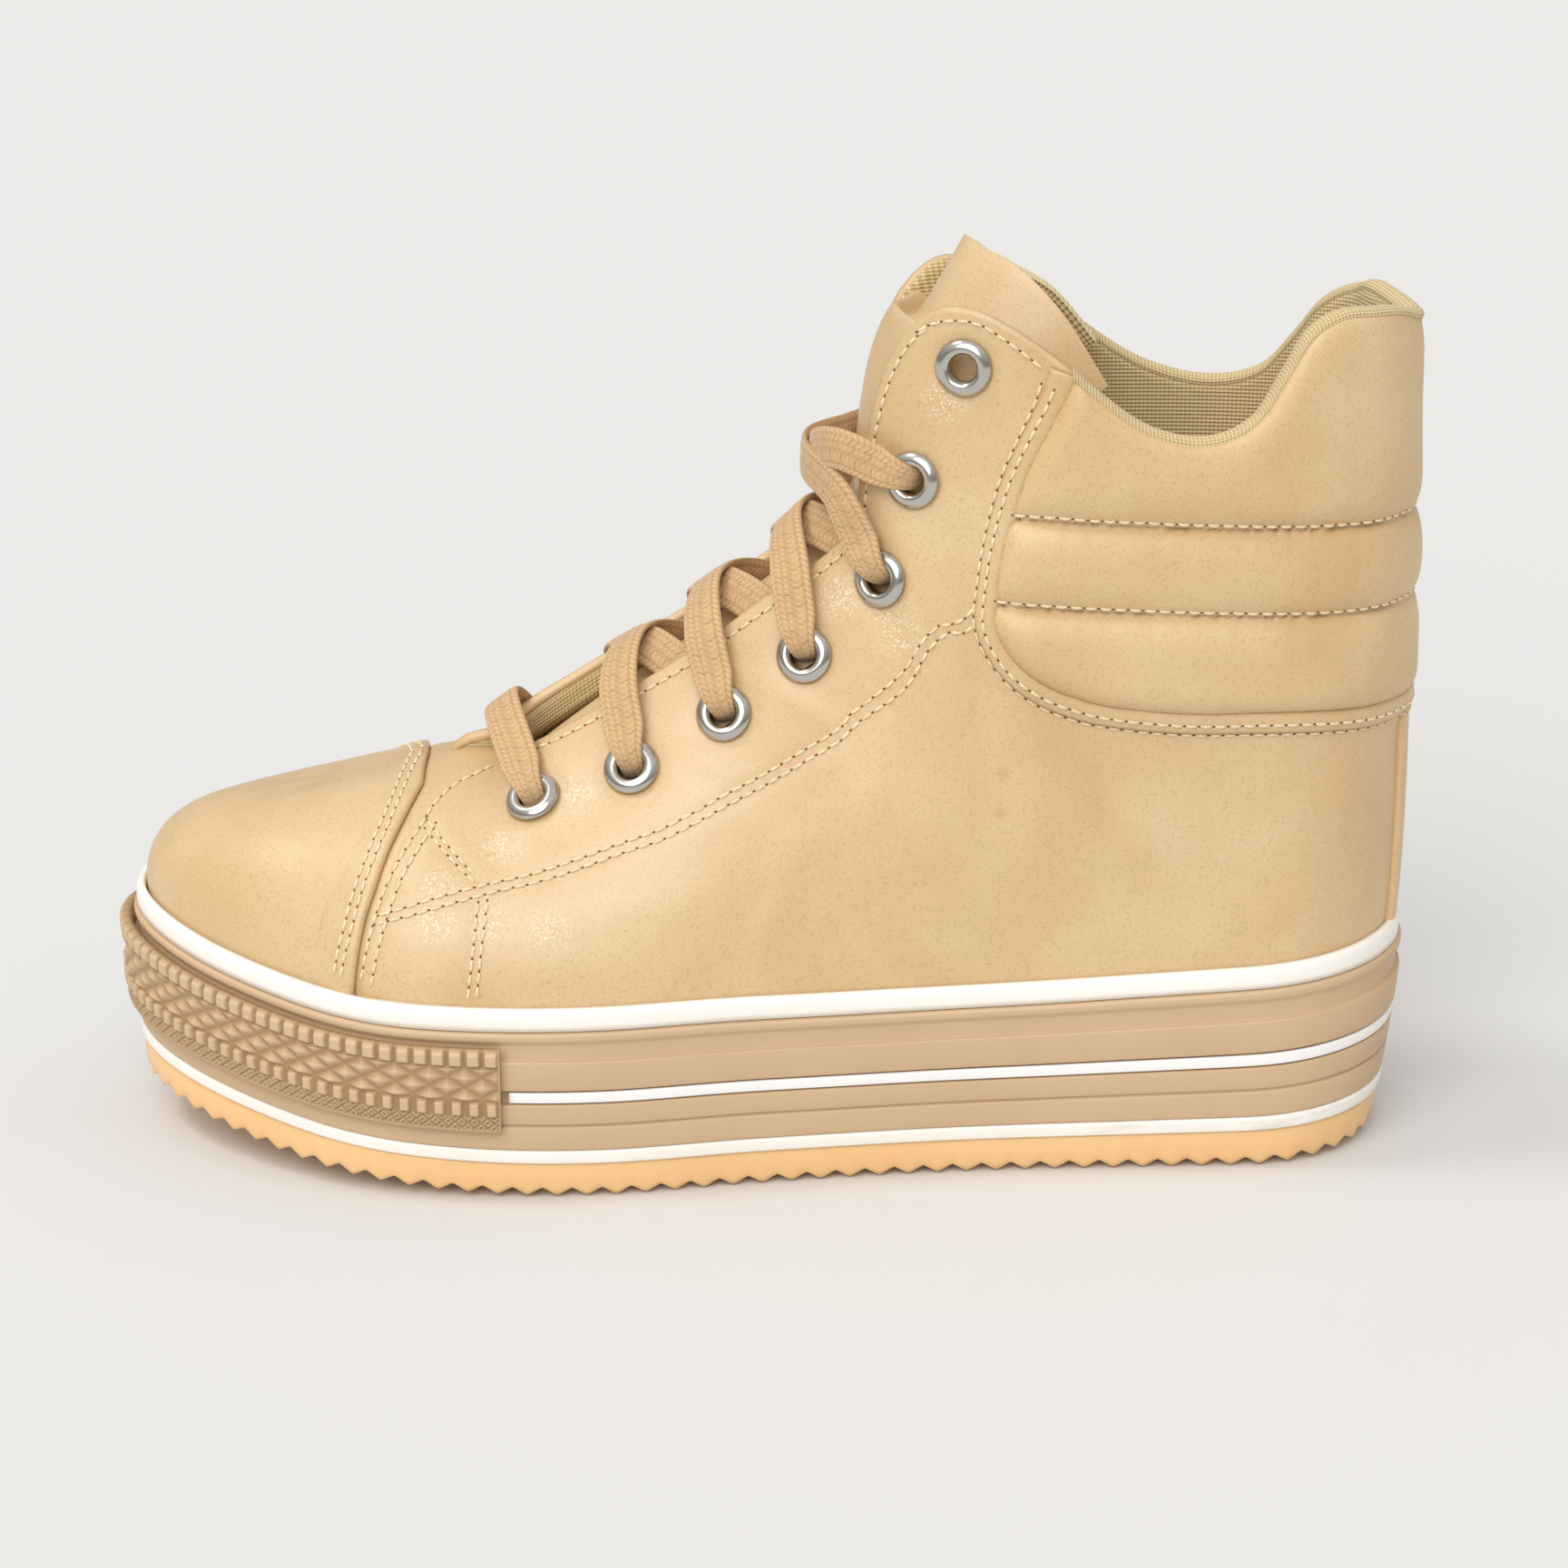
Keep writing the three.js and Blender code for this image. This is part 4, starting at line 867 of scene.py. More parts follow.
SEAM_ROWS = {
    "long_upper": [(416, 1009), (477, 991), (538, 974), (609, 956), (679, 931), (730, 913),
                   (801, 875), (863, 841), (924, 804), (943, 783), (1007, 723), (1054, 688),
                   (1078, 668)],
    "long_lower": [(412, 1019), (477, 1002), (540, 984), (611, 966), (683, 941), (735, 923),
                   (806, 885), (868, 851), (930, 814), (950, 793), (1014, 733), (1061, 698),
                   (1090, 676)],
    "cap_front": [(459, 831), (431, 887), (411, 933), (395, 974), (383, 1017), (375, 1048),
                  (369, 1086)],
    "cap_back": [(467, 834), (439, 891), (419, 937), (403, 978), (391, 1021), (383, 1052),
                 (377, 1088)],
    "stay_front": [(470, 900), (452, 927), (436, 955), (422, 985), (411, 1018), (402, 1055),
                   (396, 1090)],
    "stay_second": [(480, 906), (463, 932), (447, 960), (434, 990), (423, 1022), (414, 1058),
                    (408, 1090)],
    "slant_one": [(470, 903), (492, 930), (514, 955), (534, 975)],
    "slant_two": [(468, 912), (486, 934), (507, 957), (527, 977)],
    "post_one": [(527, 994), (521, 1050), (515, 1105)],
    "post_two": [(537, 992), (530, 1050), (525, 1105)],
    "stay_edge": [(470, 898), (479, 884), (491, 872), (503, 862), (522, 853), (552, 837)],
    "top_arc": [(1010, 366), (1022, 359), (1036, 355), (1056, 354), (1077, 357), (1095, 367),
                (1128, 390), (1151, 408)],
}
row_uv = {name: on_upper(row) for name, row in SEAM_ROWS.items()}
CAP_EDGE_SEEN = [(477, 823), (464, 864), (446, 897), (426, 938), (411, 981), (401, 1010),
                 (393, 1048), (388, 1091)]
cap_seen = on_upper(CAP_EDGE_SEEN)[::-1]


def cap_line(v):
    """Column of the toe cap's folded edge at a share up the upper."""
    return np.interp(v, cap_seen[:, 1], cap_seen[:, 0])


print("stitch rows from the photograph:", len(row_uv))

# %% [markdown]
# The upper is synthetic leather, a smooth coated fabric. It has a warm tan colour with
# darker clouds, a very fine pore grain and a soft gloss. Where it is pulled tight round the
# eyelets, near-white specks are painted into its colour as painted highlight sparkle. The
# lining is an open mesh knit.

# %% Leather and lining
# Painted highlight: round these seen places the leather's colour turns to near-white specks
PAINTED_GLINTS_SEEN = [(553, 934), (480, 1015), (637, 872), (484, 978), (542, 1018), (605, 1026),
               (992, 700), (926, 656), (981, 674), (1040, 442)]
MARKS_SEEN = [(1107, 852), (1102, 896)]
PAINTED_GLINT_REACH, MARK_REACH = 0.0075, 0.0022
painted_glint_uv, mark_uv = on_upper(PAINTED_GLINTS_SEEN), on_upper(MARKS_SEEN)
painted_glint_points = to_scene(face(painted_glint_uv[:, 0], painted_glint_uv[:, 1]))
marks = to_scene(face(mark_uv[:, 0], mark_uv[:, 1]))


def near_any(tree, place, points, reach):
    """1 at any of the points, falling to 0 at reach metres."""
    total = 0.0
    for point in points:
        away = add_node(tree, "VectorMath", {0: place, 1: tuple(point)}, operation="DISTANCE")
        close = add_node(tree, "MapRange", {
            "Value": away.outputs["Value"], "From Min": reach, "From Max": 0.0,
        }, interpolation_type="SMOOTHSTEP")
        total = combine(tree, "MAXIMUM", close.outputs[0], total)
    return total


def coated_leather(name, gloss):
    """Synthetic leather: tan clouds, fine pores, a gloss that the pores break up, and painted
    highlight specks round the glint points.
    """
    made, tree, surface = finish_material(name, {
        "IOR": 1.5, "Specular IOR Level": 0.5, "Coat Weight": gloss, "Coat Roughness": 0.13,
    })
    place = object_place(tree)
    cloud = add_node(tree, "TexNoise", {
        "Vector": place, "Scale": 24, "Detail": 5, "Roughness": 0.55, "Distortion": 0.4,
    })
    shade = mix(tree, ranged(tree, cloud.outputs["Fac"], 0.32, 0.68), "#D1AF7E", "#DFC295")
    wide = add_node(tree, "TexNoise", {"Vector": place, "Scale": 9, "Detail": 2})
    warm = ranged(tree, wide.outputs["Fac"], 0.45, 0.75, 0.0, 0.6)
    shade = mix(tree, warm, shade, "#D5AC7B")
    pores = add_node(tree, "TexNoise", {"Vector": place, "Scale": 1600, "Detail": 3})
    speckle = ranged(tree, pores.outputs["Fac"], 0.3, 0.48, 0.3, 0.0)
    shade = mix(tree, speckle, shade, "#A9824E")
    stain = combine(tree, "MULTIPLY", near_any(tree, place, marks, MARK_REACH), 0.35)
    shade = mix(tree, stain, shade, "#B08650")
    # Painted highlight: near-white specks mixed into the base colour round the glint points stand
    # in for sparkling reflections
    cells = add_node(tree, "TexVoronoi", {"Vector": place, "Scale": 3200})
    tone = add_node(tree, "SeparateColor", {0: cells.outputs["Color"]})
    painted_sparkle = ranged(tree, tone.outputs[0], 0.74, 0.9, 0.0, 0.6)
    painted_glint = combine(tree, "MULTIPLY", near_any(tree, place, painted_glint_points, PAINTED_GLINT_REACH), painted_sparkle)
    colour_by(tree, surface, mix(tree, painted_glint, shade, "#FFF4DE"))
    pebble = add_node(tree, "TexVoronoi", {"Vector": place, "Scale": 2300})
    pebble_bump = add_node(tree, "Bump", {
        "Height": pebble.outputs["Distance"], "Strength": 0.55, "Distance": 0.00012,
    })
    tree.links.new(pebble_bump.outputs["Normal"], surface.inputs["Coat Normal"])
    rough = ranged(tree, pores.outputs["Fac"], 0.3, 0.7, 0.36, 0.56)
    tree.links.new(rough, surface.inputs["Roughness"])
    wrinkle = add_node(tree, "TexNoise", {"Vector": place, "Scale": 260, "Detail": 2})
    height = combine(tree, "MULTIPLY_ADD", wrinkle.outputs["Fac"], 1.2, pores.outputs["Fac"])
    bump_into(tree, surface, height, 0.28, 0.00012)
    return made


def mesh_knit(name, pitch_mm, thread_hex, gap_hex):
    """Mesh knit on the piece's own map in metres: raised knots on a slanted net."""
    made, tree, surface = finish_material(name, {
        "Roughness": 0.85, "Sheen Weight": 0.25, "Sheen Roughness": 0.5, "IOR": 1.45,
        "Specular IOR Level": 0.3,
    })
    uv = add_node(tree, "SeparateXYZ", {0: add_node(tree, "UVMap").outputs[0]})
    turn = 2 * math.pi / (pitch_mm / 1000)
    waves = []
    for kind in ("ADD", "SUBTRACT"):
        both = combine(tree, kind, uv.outputs[0], uv.outputs[1])
        waves.append(combine(tree, "SINE", combine(tree, "MULTIPLY", both, turn)))
    level = ranged(tree, combine(tree, "MULTIPLY", *waves), -0.7, 0.5)
    colour_by(tree, surface, mix(tree, level, gap_hex, thread_hex))
    bump_into(tree, surface, level, 0.8, 0.0004)
    return made


leather = coated_leather("synthetic_leather", 0.36)
pad_leather = coated_leather("soft_synthetic_leather", 0.12)
lining = mesh_knit("knitted_mesh_lining", 1.6, "#E8D2A0", "#C9AC74")
print("upper finishes: leather and lining")

# %% [markdown]
# The quilted collar has a free edge: up from the rim, down and round below the ankle, and
# up to the rim again on the other side. The leather of the quarter rises gently toward
# that edge, so the line is worked out before the leather.

# %% Edge of the quilted collar
PAD_EDGE = np.array([
    [0.0, 95.5, 0.00], [1.0, 95.6, 1.00], [2.0, 95.8, 2.00], [3.0, 96.2, 3.00],
    [4.2, 96.8, 4.10], [5.4, 97.2, 5.10], [6.6, 97.4, 6.10], [7.7, 97.5, 7.00],
    [8.6, 98.0, 7.80], [9.5, 99.0, 8.50], [10.4, 100.4, 9.20], [11.3, 102.4, 9.80],
    [12.1, 105.8, 10.00], [12.8, 110.5, 10.15], [13.2, 116.0, 10.30],
    [13.0, 122.5, 10.42], [12.55, 133.0, 10.55], [11.85, 147.0, 10.72],
])
PAD_LAST = len(PAD_EDGE) - 1


def pad_edge(c):
    """Column and height of the pad's lower edge, and column of the rim above it."""
    return smooth_rows(PAD_EDGE, np.abs(c))


EDGE_COLS = 520
tip_low_u, tip_low_z, tip_top_u = PAD_EDGE[-1, 0], PAD_EDGE[-1, 1], PAD_EDGE[-1, 2]
tip_u = np.linspace(tip_top_u, tip_low_u, 60)[:-1]
tip_z = np.linspace(face(tip_top_u, 1.0)[2] - 0.3, tip_low_z, 60)[:-1]
low_c = np.linspace(PAD_LAST, -PAD_LAST, 700)
low_line_u, low_line_z, _ = pad_edge(low_c)
raw_u = np.concatenate([tip_u, side_of(low_c) * low_line_u, -tip_u[::-1]])
raw_z = np.concatenate([tip_z, low_line_z, tip_z[::-1]])
raw_line = face(raw_u, height_to_v(raw_u, raw_z))
raw_walk = walk_along(raw_line)
edge_walk = np.linspace(0, raw_walk[-1], EDGE_COLS + 1)
edge_u, edge_z = np.interp(edge_walk, raw_walk, raw_u), np.interp(edge_walk, raw_walk, raw_z)
edge_line = face(edge_u, height_to_v(edge_u, edge_z))
edge_along = unit(np.gradient(edge_line, axis=0))
edge_normal = face_normal(edge_u, height_to_v(edge_u, edge_z))
edge_across = unit(np.cross(edge_along, edge_normal))
if edge_across[len(edge_across) // 2][2] > 0:
    edge_across = -edge_across
edge_tree = tree_of(edge_line)
QUARTER_RISE = 0.95
print("edge of the collar, mm:", round(float(edge_walk[-1])))

# %% [markdown]
# The leather skin of the upper is one grid over the whole function. Its columns are spaced
# evenly in millimetres, with extra ones at the toe cap's edge, where it steps up by the
# cap's thickness behind a narrow crevice. Along each seam it dips a little, as stitched
# leather does, and round each eyelet it is pressed down. The soft swells between are
# placed one by one. Then it gets its thickness, and the eyelet holes are cut.

# %% Leather upper
def even_columns(low, high, step):
    """Column numbers whose places on the shoe are about step millimetres apart."""
    tried = np.linspace(low, high, 600)
    walk = walk_along(face(tried, 0.45))
    return np.interp(np.linspace(0, walk[-1], int(walk[-1] / step) + 1), walk, tried)


CAP_LEVEL = 0.45
UPPER_STEP, UPPER_ROWS = 1.2, 80
half_u = np.concatenate([
    even_columns(0, 26.85, UPPER_STEP), np.linspace(26.9, 27.9, 24),
    even_columns(28, LAST_COLUMN, UPPER_STEP),
])
all_u = np.concatenate([half_u[::-1], -half_u[1:]])
seam_tree_points = np.concatenate([
    face(side * line[:, 0], line[:, 1])
    for uv in row_uv.values()
    for side in (1, -1)
    for line in [np.stack([np.interp(np.linspace(0, len(uv) - 1, 90), range(len(uv)), uv[:, k])
                           for k in (0, 1)], 1)]
])
seam_tree = tree_of(seam_tree_points)


def cap_height(u, v):
    """The vamp dips into the crevice under the cap's edge, and the cap lies higher."""
    ahead = np.abs(u) - cap_line(v)
    crevice = -0.6 * np.exp(-(ahead / 0.11) ** 2)
    return np.where(ahead < 0.08, crevice, CAP_LEVEL * np.clip((ahead - 0.08) / 0.15, 0, 1))


EYELET_COLUMNS = [23.85, 22.3, 20.95, 19.7, 18.0, 16.2, 13.4]
EYELET_SETBACKS = [15.5, 16, 15, 14.5, 13, 18.2, 12]
EYELET_LIFTS = [0, 0.05, 0, 0, 0.4, 0.1, 0]
eyelets = []
for k, (u, setback, lift) in enumerate(zip(EYELET_COLUMNS, EYELET_SETBACKS, EYELET_LIFTS)):
    for side, word in ((1, "lateral"), (-1, "medial")):
        v = float(setback_to_v(side * u, setback))
        n = face_normal(side * u, v)
        eyelets.append({"name": f"{word}_{k + 1}", "k": k, "side": side, "n": n,
                        "p": face(side * u, v) + n * lift})

# Each swell: column, share up it, half length, half width and height in mm, turn in degrees
SWELLS = [
    (17.4, 0.66, 8, 1.8, 0.30, 80), (16.9, 0.63, 9, 1.6, -0.26, 74), (18.1, 0.62, 7, 1.7, 0.24, 85),
    (26.3, 0.44, 9, 5, 0.42, 20), (24.7, 0.60, 9, 3, 0.28, 30), (24.1, 0.50, 11, 3.4, -0.28, 25),
    (22.6, 0.35, 17, 5, 0.34, 10), (20.5, 0.30, 18, 6, -0.34, 0), (21.3, 0.66, 8, 2.4, 0.26, 40),
    (19.9, 0.68, 8, 2.2, 0.26, 50), (12.5, 0.30, 15, 8, 0.40, 90), (8.0, 0.24, 20, 7, -0.34, 0),
    (4.5, 0.20, 11, 8, 0.34, 90), (30.0, 0.50, 16, 9, 0.36, 0), (28.6, 0.35, 10, 6, -0.22, 60),
]


def swell_height(p):
    total = np.zeros(len(p))
    for column, share, half_long, half_wide, high, degrees in SWELLS:
        for side in (1, -1):
            u = side * column
            by_u, by_v = unit(face(u + 0.05, share) - face(u, share)), unit(
                face(u, share + 0.01) - face(u, share))
            along = unit(by_u * math.cos(math.radians(degrees))
                         + by_v * math.sin(math.radians(degrees)))
            across = np.cross(face_normal(u, share), along)
            rel = p - face(u, share)
            total += high * np.exp(-(rel @ along / half_long)**2 - (rel @ across / half_wide)**2)
    return total


def leather_place(s, t):
    u = all_u[row_at(s, all_u)]
    p, n = face(u, t), seam_normal(u, t)
    near = np.array([seam_tree.find(point)[2] for point in p])
    dip = -0.26 * np.exp(-(near / 1.0) ** 2)
    for e in eyelets:
        r = np.linalg.norm(p - e["p"], axis=-1)
        dip -= 0.5 * np.exp(-(np.maximum(0, r - 5.2) / 2.0) ** 2)
    pad_side = np.array([edge_tree.find(point)[1:] for point in p])
    nearest = pad_side[:, 0].astype(int)
    outside = ((p - edge_line[nearest]) * edge_across[nearest]).sum(-1) > 0
    quarter_rise = np.where(outside, QUARTER_RISE * np.exp(-(pad_side[:, 1] / 5.0) ** 2), -0.4)
    quarter_rise = np.where(pad_side[:, 1] > 60, 0, quarter_rise)
    height = cap_height(u, t) + dip + swell_height(p) + quarter_rise
    return p + n * height[:, None]


upper = skin("leather_upper", len(all_u) - 1, UPPER_ROWS, leather_place, weld=0.12)

# The grid crowds together on the ridge of the toe: what lies there is filled anew and eased
RIDGE_REACH, CROWD_REACH = 0.011, 0.0018
ridge_u = np.linspace(28.6, LAST_COLUMN, 200)
ridge_tree = tree_of(to_scene(face(ridge_u, 1.0)))
crowd = upper.vertex_groups.new(name="crowded ridge")
crowd.add([vertex.index for vertex in upper.data.vertices
           if ridge_tree.find(vertex.co)[2] < CROWD_REACH], 1.0, "REPLACE")
edit(
    upper,
    lambda: bpy.ops.mesh.select_all(action="DESELECT"),
    bpy.ops.object.vertex_group_select,
    lambda: bpy.ops.mesh.delete(type="VERT"),
    lambda: bpy.ops.mesh.select_all(action="SELECT"),
    lambda: bpy.ops.mesh.fill_holes(sides=300),
    lambda: bpy.ops.mesh.select_all(action="DESELECT"),
    lambda: bpy.ops.mesh.select_face_by_sides(number=4, type="GREATER"),
    bpy.ops.mesh.poke,
)
bpy.ops.object.shade_smooth()
ridge = upper.vertex_groups.new(name="toe ridge")
for vertex in upper.data.vertices:
    away = ridge_tree.find(vertex.co)[2]
    if away < RIDGE_REACH:
        ridge.add([vertex.index], 1 - away / RIDGE_REACH, "REPLACE")
apply_modifier(upper, "SMOOTH", factor=0.5, iterations=60, vertex_group="toe ridge")
apply_modifier(upper, "SOLIDIFY", thickness=0.0013, offset=-1.0, use_quality_normals=True)

LINING_STEP, LINING_ROWS, LINING_SETBACK = 2.2, 50, 1.45
lining_half = even_columns(0, LAST_COLUMN, LINING_STEP)
lining_u = np.concatenate([lining_half[::-1], -lining_half[1:]])
lining_walk = walk_along(face(lining_u, 0.6))


def lining_place(s, t):
    k = row_at(s, lining_u)
    u, v = lining_u[k], t * 0.998
    p = face(u, v) - face_normal(u, v) * LINING_SETBACK
    return p, np.stack([lining_walk[k], p[:, 2]], -1)


inside = skin("mesh_lining", len(lining_u) - 1, LINING_ROWS, lining_place, weld=0.4)
apply_modifier(inside, "SOLIDIFY", thickness=0.0006, offset=-1.0)

HOLE_RADIUS, PUNCH_DEPTH = 0.0037, 0.014


def turned_to(normal):
    """The turn that brings the up axis onto a normal."""
    return Vector((0, 0, 1)).rotation_difference(Vector(normal)).to_matrix().to_4x4()


cutters = []
for e in eyelets:
    deselect()
    bpy.ops.mesh.primitive_cylinder_add(vertices=40, radius=HOLE_RADIUS, depth=PUNCH_DEPTH)
    cutter = bpy.context.object
    cutter.data.transform(turned_to(e["n"]))
    cutter.data.transform(Matrix.Translation(to_scene(e["p"])))
    cutters.append(cutter)
deselect()
for cutter in cutters:
    cutter.select_set(True)
bpy.context.view_layer.objects.active = cutters[0]
bpy.ops.object.join()
punch = bpy.context.object
for piece in (upper, inside):
    apply_modifier(piece, "BOOLEAN", operation="DIFFERENCE", object=punch, solver="EXACT")
bpy.data.objects.remove(punch)
dress(upper, leather, "tan_leather", "upper")
dress(inside, lining, "mesh_lining")

# %% [markdown]
# The foxing is the white strip glued round the joint of sole and upper. Its outer side
# stands on the sole's edge and its inner side follows the upper, so it is made from both
# functions, with a rounded top edge.

# %% Foxing
FOXING_HEIGHT = 4.5
FOXING_ROWS = [
    (0.30, 0.00, 0.0), (1.6, 0.12, 0.0), (3.2, 0.10, 0.0), (4.1, -0.05, 0.0),
    (4.6, -0.45, 0.0), (4.75, -1.0, 0.0), (4.7, 0.0, 1.0), (0.5, 0.0, 1.0), (0.30, 0.00, 0.0),
]


def foxing_place(s, t):
    dz, off, inward = np.array(FOXING_ROWS)[row_at(t, FOXING_ROWS)].T
    u = np.where(s <= 0.5, s * 2, s * 2 - 2) * LAST_COLUMN
    u = np.where(s >= 1, 0.0, u)
    foot = smooth_rows(COLUMNS, np.abs(u))[0]
    p, out = rim(turn_at(foot), side_of(u), -1.1)
    base = sole_z(p[:, 0], 1.0)
    outer = np.concatenate([p + out * off[:, None], (base + dz)[:, None]], -1)
    hug = face(u, height_to_v(u, base + dz))
    cap = 0.9 * np.clip((np.abs(u) - 26.8) / 0.3, 0, 1)
    hug[:, :2] += out * (0.1 + cap)[:, None]
    hug[:, 2] = base + dz
    return lerp(outer, hug, inward[:, None])


foxing = skin("white_foxing", 560, len(FOXING_ROWS) - 1, foxing_place, closed=True)
dress(foxing, white_rubber, "white_rubber", "foxing")

# %% [markdown]
# The collar is quilted: foam under leather, sewn down along two channels, so it swells
# into three rolls. Each roll's section is a flattened arch, and near a seam the leather
# gathers in short puckers. The lower edge tucks under the folded edge of the quarter.

# %% Quilted collar
def pad_walk_at(cols):
    tried = np.linspace(-PAD_LAST, PAD_LAST, 700)
    low_u, low_z, _ = pad_edge(tried)
    signed = np.sign(tried) * low_u
    line = face(signed, height_to_v(signed, low_z))
    walk = walk_along(line)
    return np.interp(np.linspace(0, walk[-1], cols + 1), walk, tried)


def pucker(walk, seed):
    """Uneven ripple along a seam, from a few waves of different lengths."""
    turns = [(9.1, 0.0), (5.7, 1.3), (14.3, 2.1), (3.9, 0.7)]
    waves = [np.sin(2 * np.pi * walk / length + phase + seed * 1.7) for length, phase in turns]
    return sum(waves) / 4


CHANNEL_LOW, CHANNEL_HIGH, CHANNEL_RISE = 115.5, 133.0, 4.5
PAD_COLS, PAD_ROWS = 340, 92
PAD_THICK = 4.2
RIPPLE_PER_COLUMN = 0.75
pad_c = pad_walk_at(PAD_COLS)[::-1]


def channels(x):
    """Heights of the two sewn channels at a distance from the heel."""
    return (CHANNEL_LOW + CHANNEL_RISE * np.clip(x / 88, 0, 1),
            CHANNEL_HIGH + CHANNEL_RISE * np.clip(x / 84, 0, 1))


def rounded(distance, reach):
    """0 at a seam, 1 from reach millimetres on, like the shoulder of a roll."""
    return np.sqrt(np.clip(1 - (1 - np.minimum(distance, reach) / reach) ** 2, 0, 1))


def pad_place(s, t):
    k = np.rint(s * PAD_COLS).astype(int)
    c = pad_c[k]
    side = side_of(c)
    low_u, low_z, top_u = pad_edge(c)
    high = face(side * top_u, 1.0)[:, 2]
    z = lerp(low_z, high, t)
    u = side * lerp(low_u, top_u, t)
    v = np.where(t > 0.999, 1.0, height_to_v(u, z))
    p, n = face(u, v), face_normal(u, v)
    first, second = channels(p[:, 0])
    from_channel = np.minimum(np.abs(z - first), np.abs(z - second))
    from_edge = np.array([edge_tree.find(point)[2] for point in p])
    full = rounded(from_channel, 8.0) ** 0.85 * rounded(from_edge, 5.0) ** 0.8
    full *= np.where(z > second, 0.4 + 0.6 * rounded(high - z, 11.0), 1)
    wrap = lerp(0.62, 1, np.clip(low_u / 4, 0, 1))
    walk = k * RIPPLE_PER_COLUMN
    roll = (z > first).astype(int) + (z > second)
    from_seam = np.where(z > second, from_channel, np.minimum(from_channel, from_edge))
    ripple = 0.2 * np.exp(-from_seam / 3.6) * np.clip(from_seam / 0.6, 0, 1) * np.choose(
        roll, [pucker(walk, seed) for seed in range(3)])
    wave = 0.25 * np.sin(walk / 17 + 1.0) * np.sin(z / 9)
    height = 0.05 + full * (wrap * (PAD_THICK + 0.2) + wave) + ripple * (full > 0.05)
    outer = (t < 1e-6) | (k == 0) | (k == PAD_COLS)
    return p + n * np.where(outer, -0.6, height)[:, None]


pad = skin("quilted_collar", PAD_COLS, PAD_ROWS, pad_place, weld=0.03)
apply_modifier(pad, "SOLIDIFY", thickness=0.0008, offset=-1.0)
dress(pad, pad_leather, "tan_leather", "collar_pad")

# %% [markdown]
# The quarter panel ends along the collar in a folded edge that stands over the pad. It is
# a narrow strip that rises gently out of the upper and rolls over at its edge. A strip
# that follows a line on the upper is made by stepping off the line across the surface.

# %% Folded edges
def beside(u, z, across, distance):
    """Steps sideways on the upper, from points (u, z), by a distance along across."""
    v = height_to_v(u, z)
    by_u = (face(u + 0.05, height_to_v(u + 0.05, z)) - face(u, v)) / 0.05
    by_z = face(u, height_to_v(u, z + 0.5)) - face(u, height_to_v(u, z - 0.5))
    want = across * np.asarray(distance)[:, None]
    a, b, d = (by_u * by_u).sum(-1), (by_u * by_z).sum(-1), (by_z * by_z).sum(-1)
    e, f = (want * by_u).sum(-1), (want * by_z).sum(-1)
    grid = a * d - b * b
    new_u, new_z = u + (e * d - f * b) / grid, z + (a * f - b * e) / grid
    return new_u, height_to_v(new_u, new_z)


QUARTER_FOLD = np.array([
    (-0.2, -0.5), (-0.5, 0.2), (-0.4, 0.85), (0.1, 1.25), (0.7, 1.36), (1.4, 1.26),
    (2.2, 1.08), (3.0, 0.85), (3.6, 0.5),
])


def fold_place(s, t):
    k = np.rint(s * EDGE_COLS).astype(int)
    off, height = QUARTER_FOLD[row_at(t, QUARTER_FOLD)].T
    u, v = beside(edge_u[k], edge_z[k], edge_across[k], off)
    return face(u, v) + face_normal(u, v) * height[:, None]


quarter = skin("quarter_folded_edge", EDGE_COLS, len(QUARTER_FOLD) - 1, fold_place, weld=0.01)
apply_modifier(quarter, "SOLIDIFY", thickness=0.0008, offset=-1.0)
dress(quarter, leather, "tan_leather")

CAP_EDGE = np.array([
    (-0.15, -0.6), (-0.5, 0.0), (-0.5, 0.6), (-0.15, 1.12), (0.5, 1.3), (1.5, 1.22),
    (3.0, 1.0), (4.6, 0.78), (6.2, 0.6), (7.6, 0.45), (8.8, 0.2),
])


def cap_edge_place(s, t):
    off, height = CAP_EDGE[row_at(t, CAP_EDGE)].T
    v = 1 - np.abs(2 * s - 1)
    side = np.where(s < 0.5, 1.0, -1.0)
    line = cap_line(v)
    pitch = np.linalg.norm(face(line + 0.1, v) - face(line, v), axis=-1) / 0.1
    u = side * (line + off / pitch)
    return face(u, v) + seam_normal(u, v) * height[:, None]


cap_edge = skin("toe_cap_folded_edge", 240, len(CAP_EDGE) - 1, cap_edge_place, weld=0.01)
apply_modifier(cap_edge, "SOLIDIFY", thickness=0.0008, offset=-1.0)
dress(cap_edge, leather, "tan_leather")

# %% [markdown]
# The backstay is a strip over the heel seam, and the mesh binding is the lining rolled
# over the collar's rim. The insole is a foam slab covered with the same knit.

# %% Backstay, binding and insole
STAY_COLUMNS = 1.25
STAY_ROWS = np.array([(-1.0, -0.4), (-0.96, 1.0), (-0.9, 1.45), (-0.7, 1.5), (0.0, 1.5),
                      (0.7, 1.5), (0.9, 1.45), (0.96, 1.0), (1.0, -0.4)])


def stay_place(s, t):
    across, height = STAY_ROWS[row_at(s, STAY_ROWS)].T
    z = lerp(sole_z(0.0, 1.0) + FOXING_HEIGHT - 0.6, 95.0, t)
    u = -STAY_COLUMNS * across
    v = height_to_v(u, z)
    height = np.where(t > 0.995, 0.4, height)
    return face(u, v) + face_normal(u, v) * height[:, None]


stay = skin("backstay_strip", len(STAY_ROWS) - 1, 60, stay_place, weld=0.01)
apply_modifier(stay, "SOLIDIFY", thickness=0.0006, offset=-1.0)
dress(stay, leather, "tan_leather", "backstay")

rim_u = side_of(pad_c) * pad_edge(pad_c)[2]
rim_line = face(rim_u, 1.0)
rim_walk = walk_along(rim_line)
rim_n = face_normal(rim_u, np.ones_like(rim_u))
rim_up = unit(face(rim_u, 1.0) - face(rim_u, 0.97))


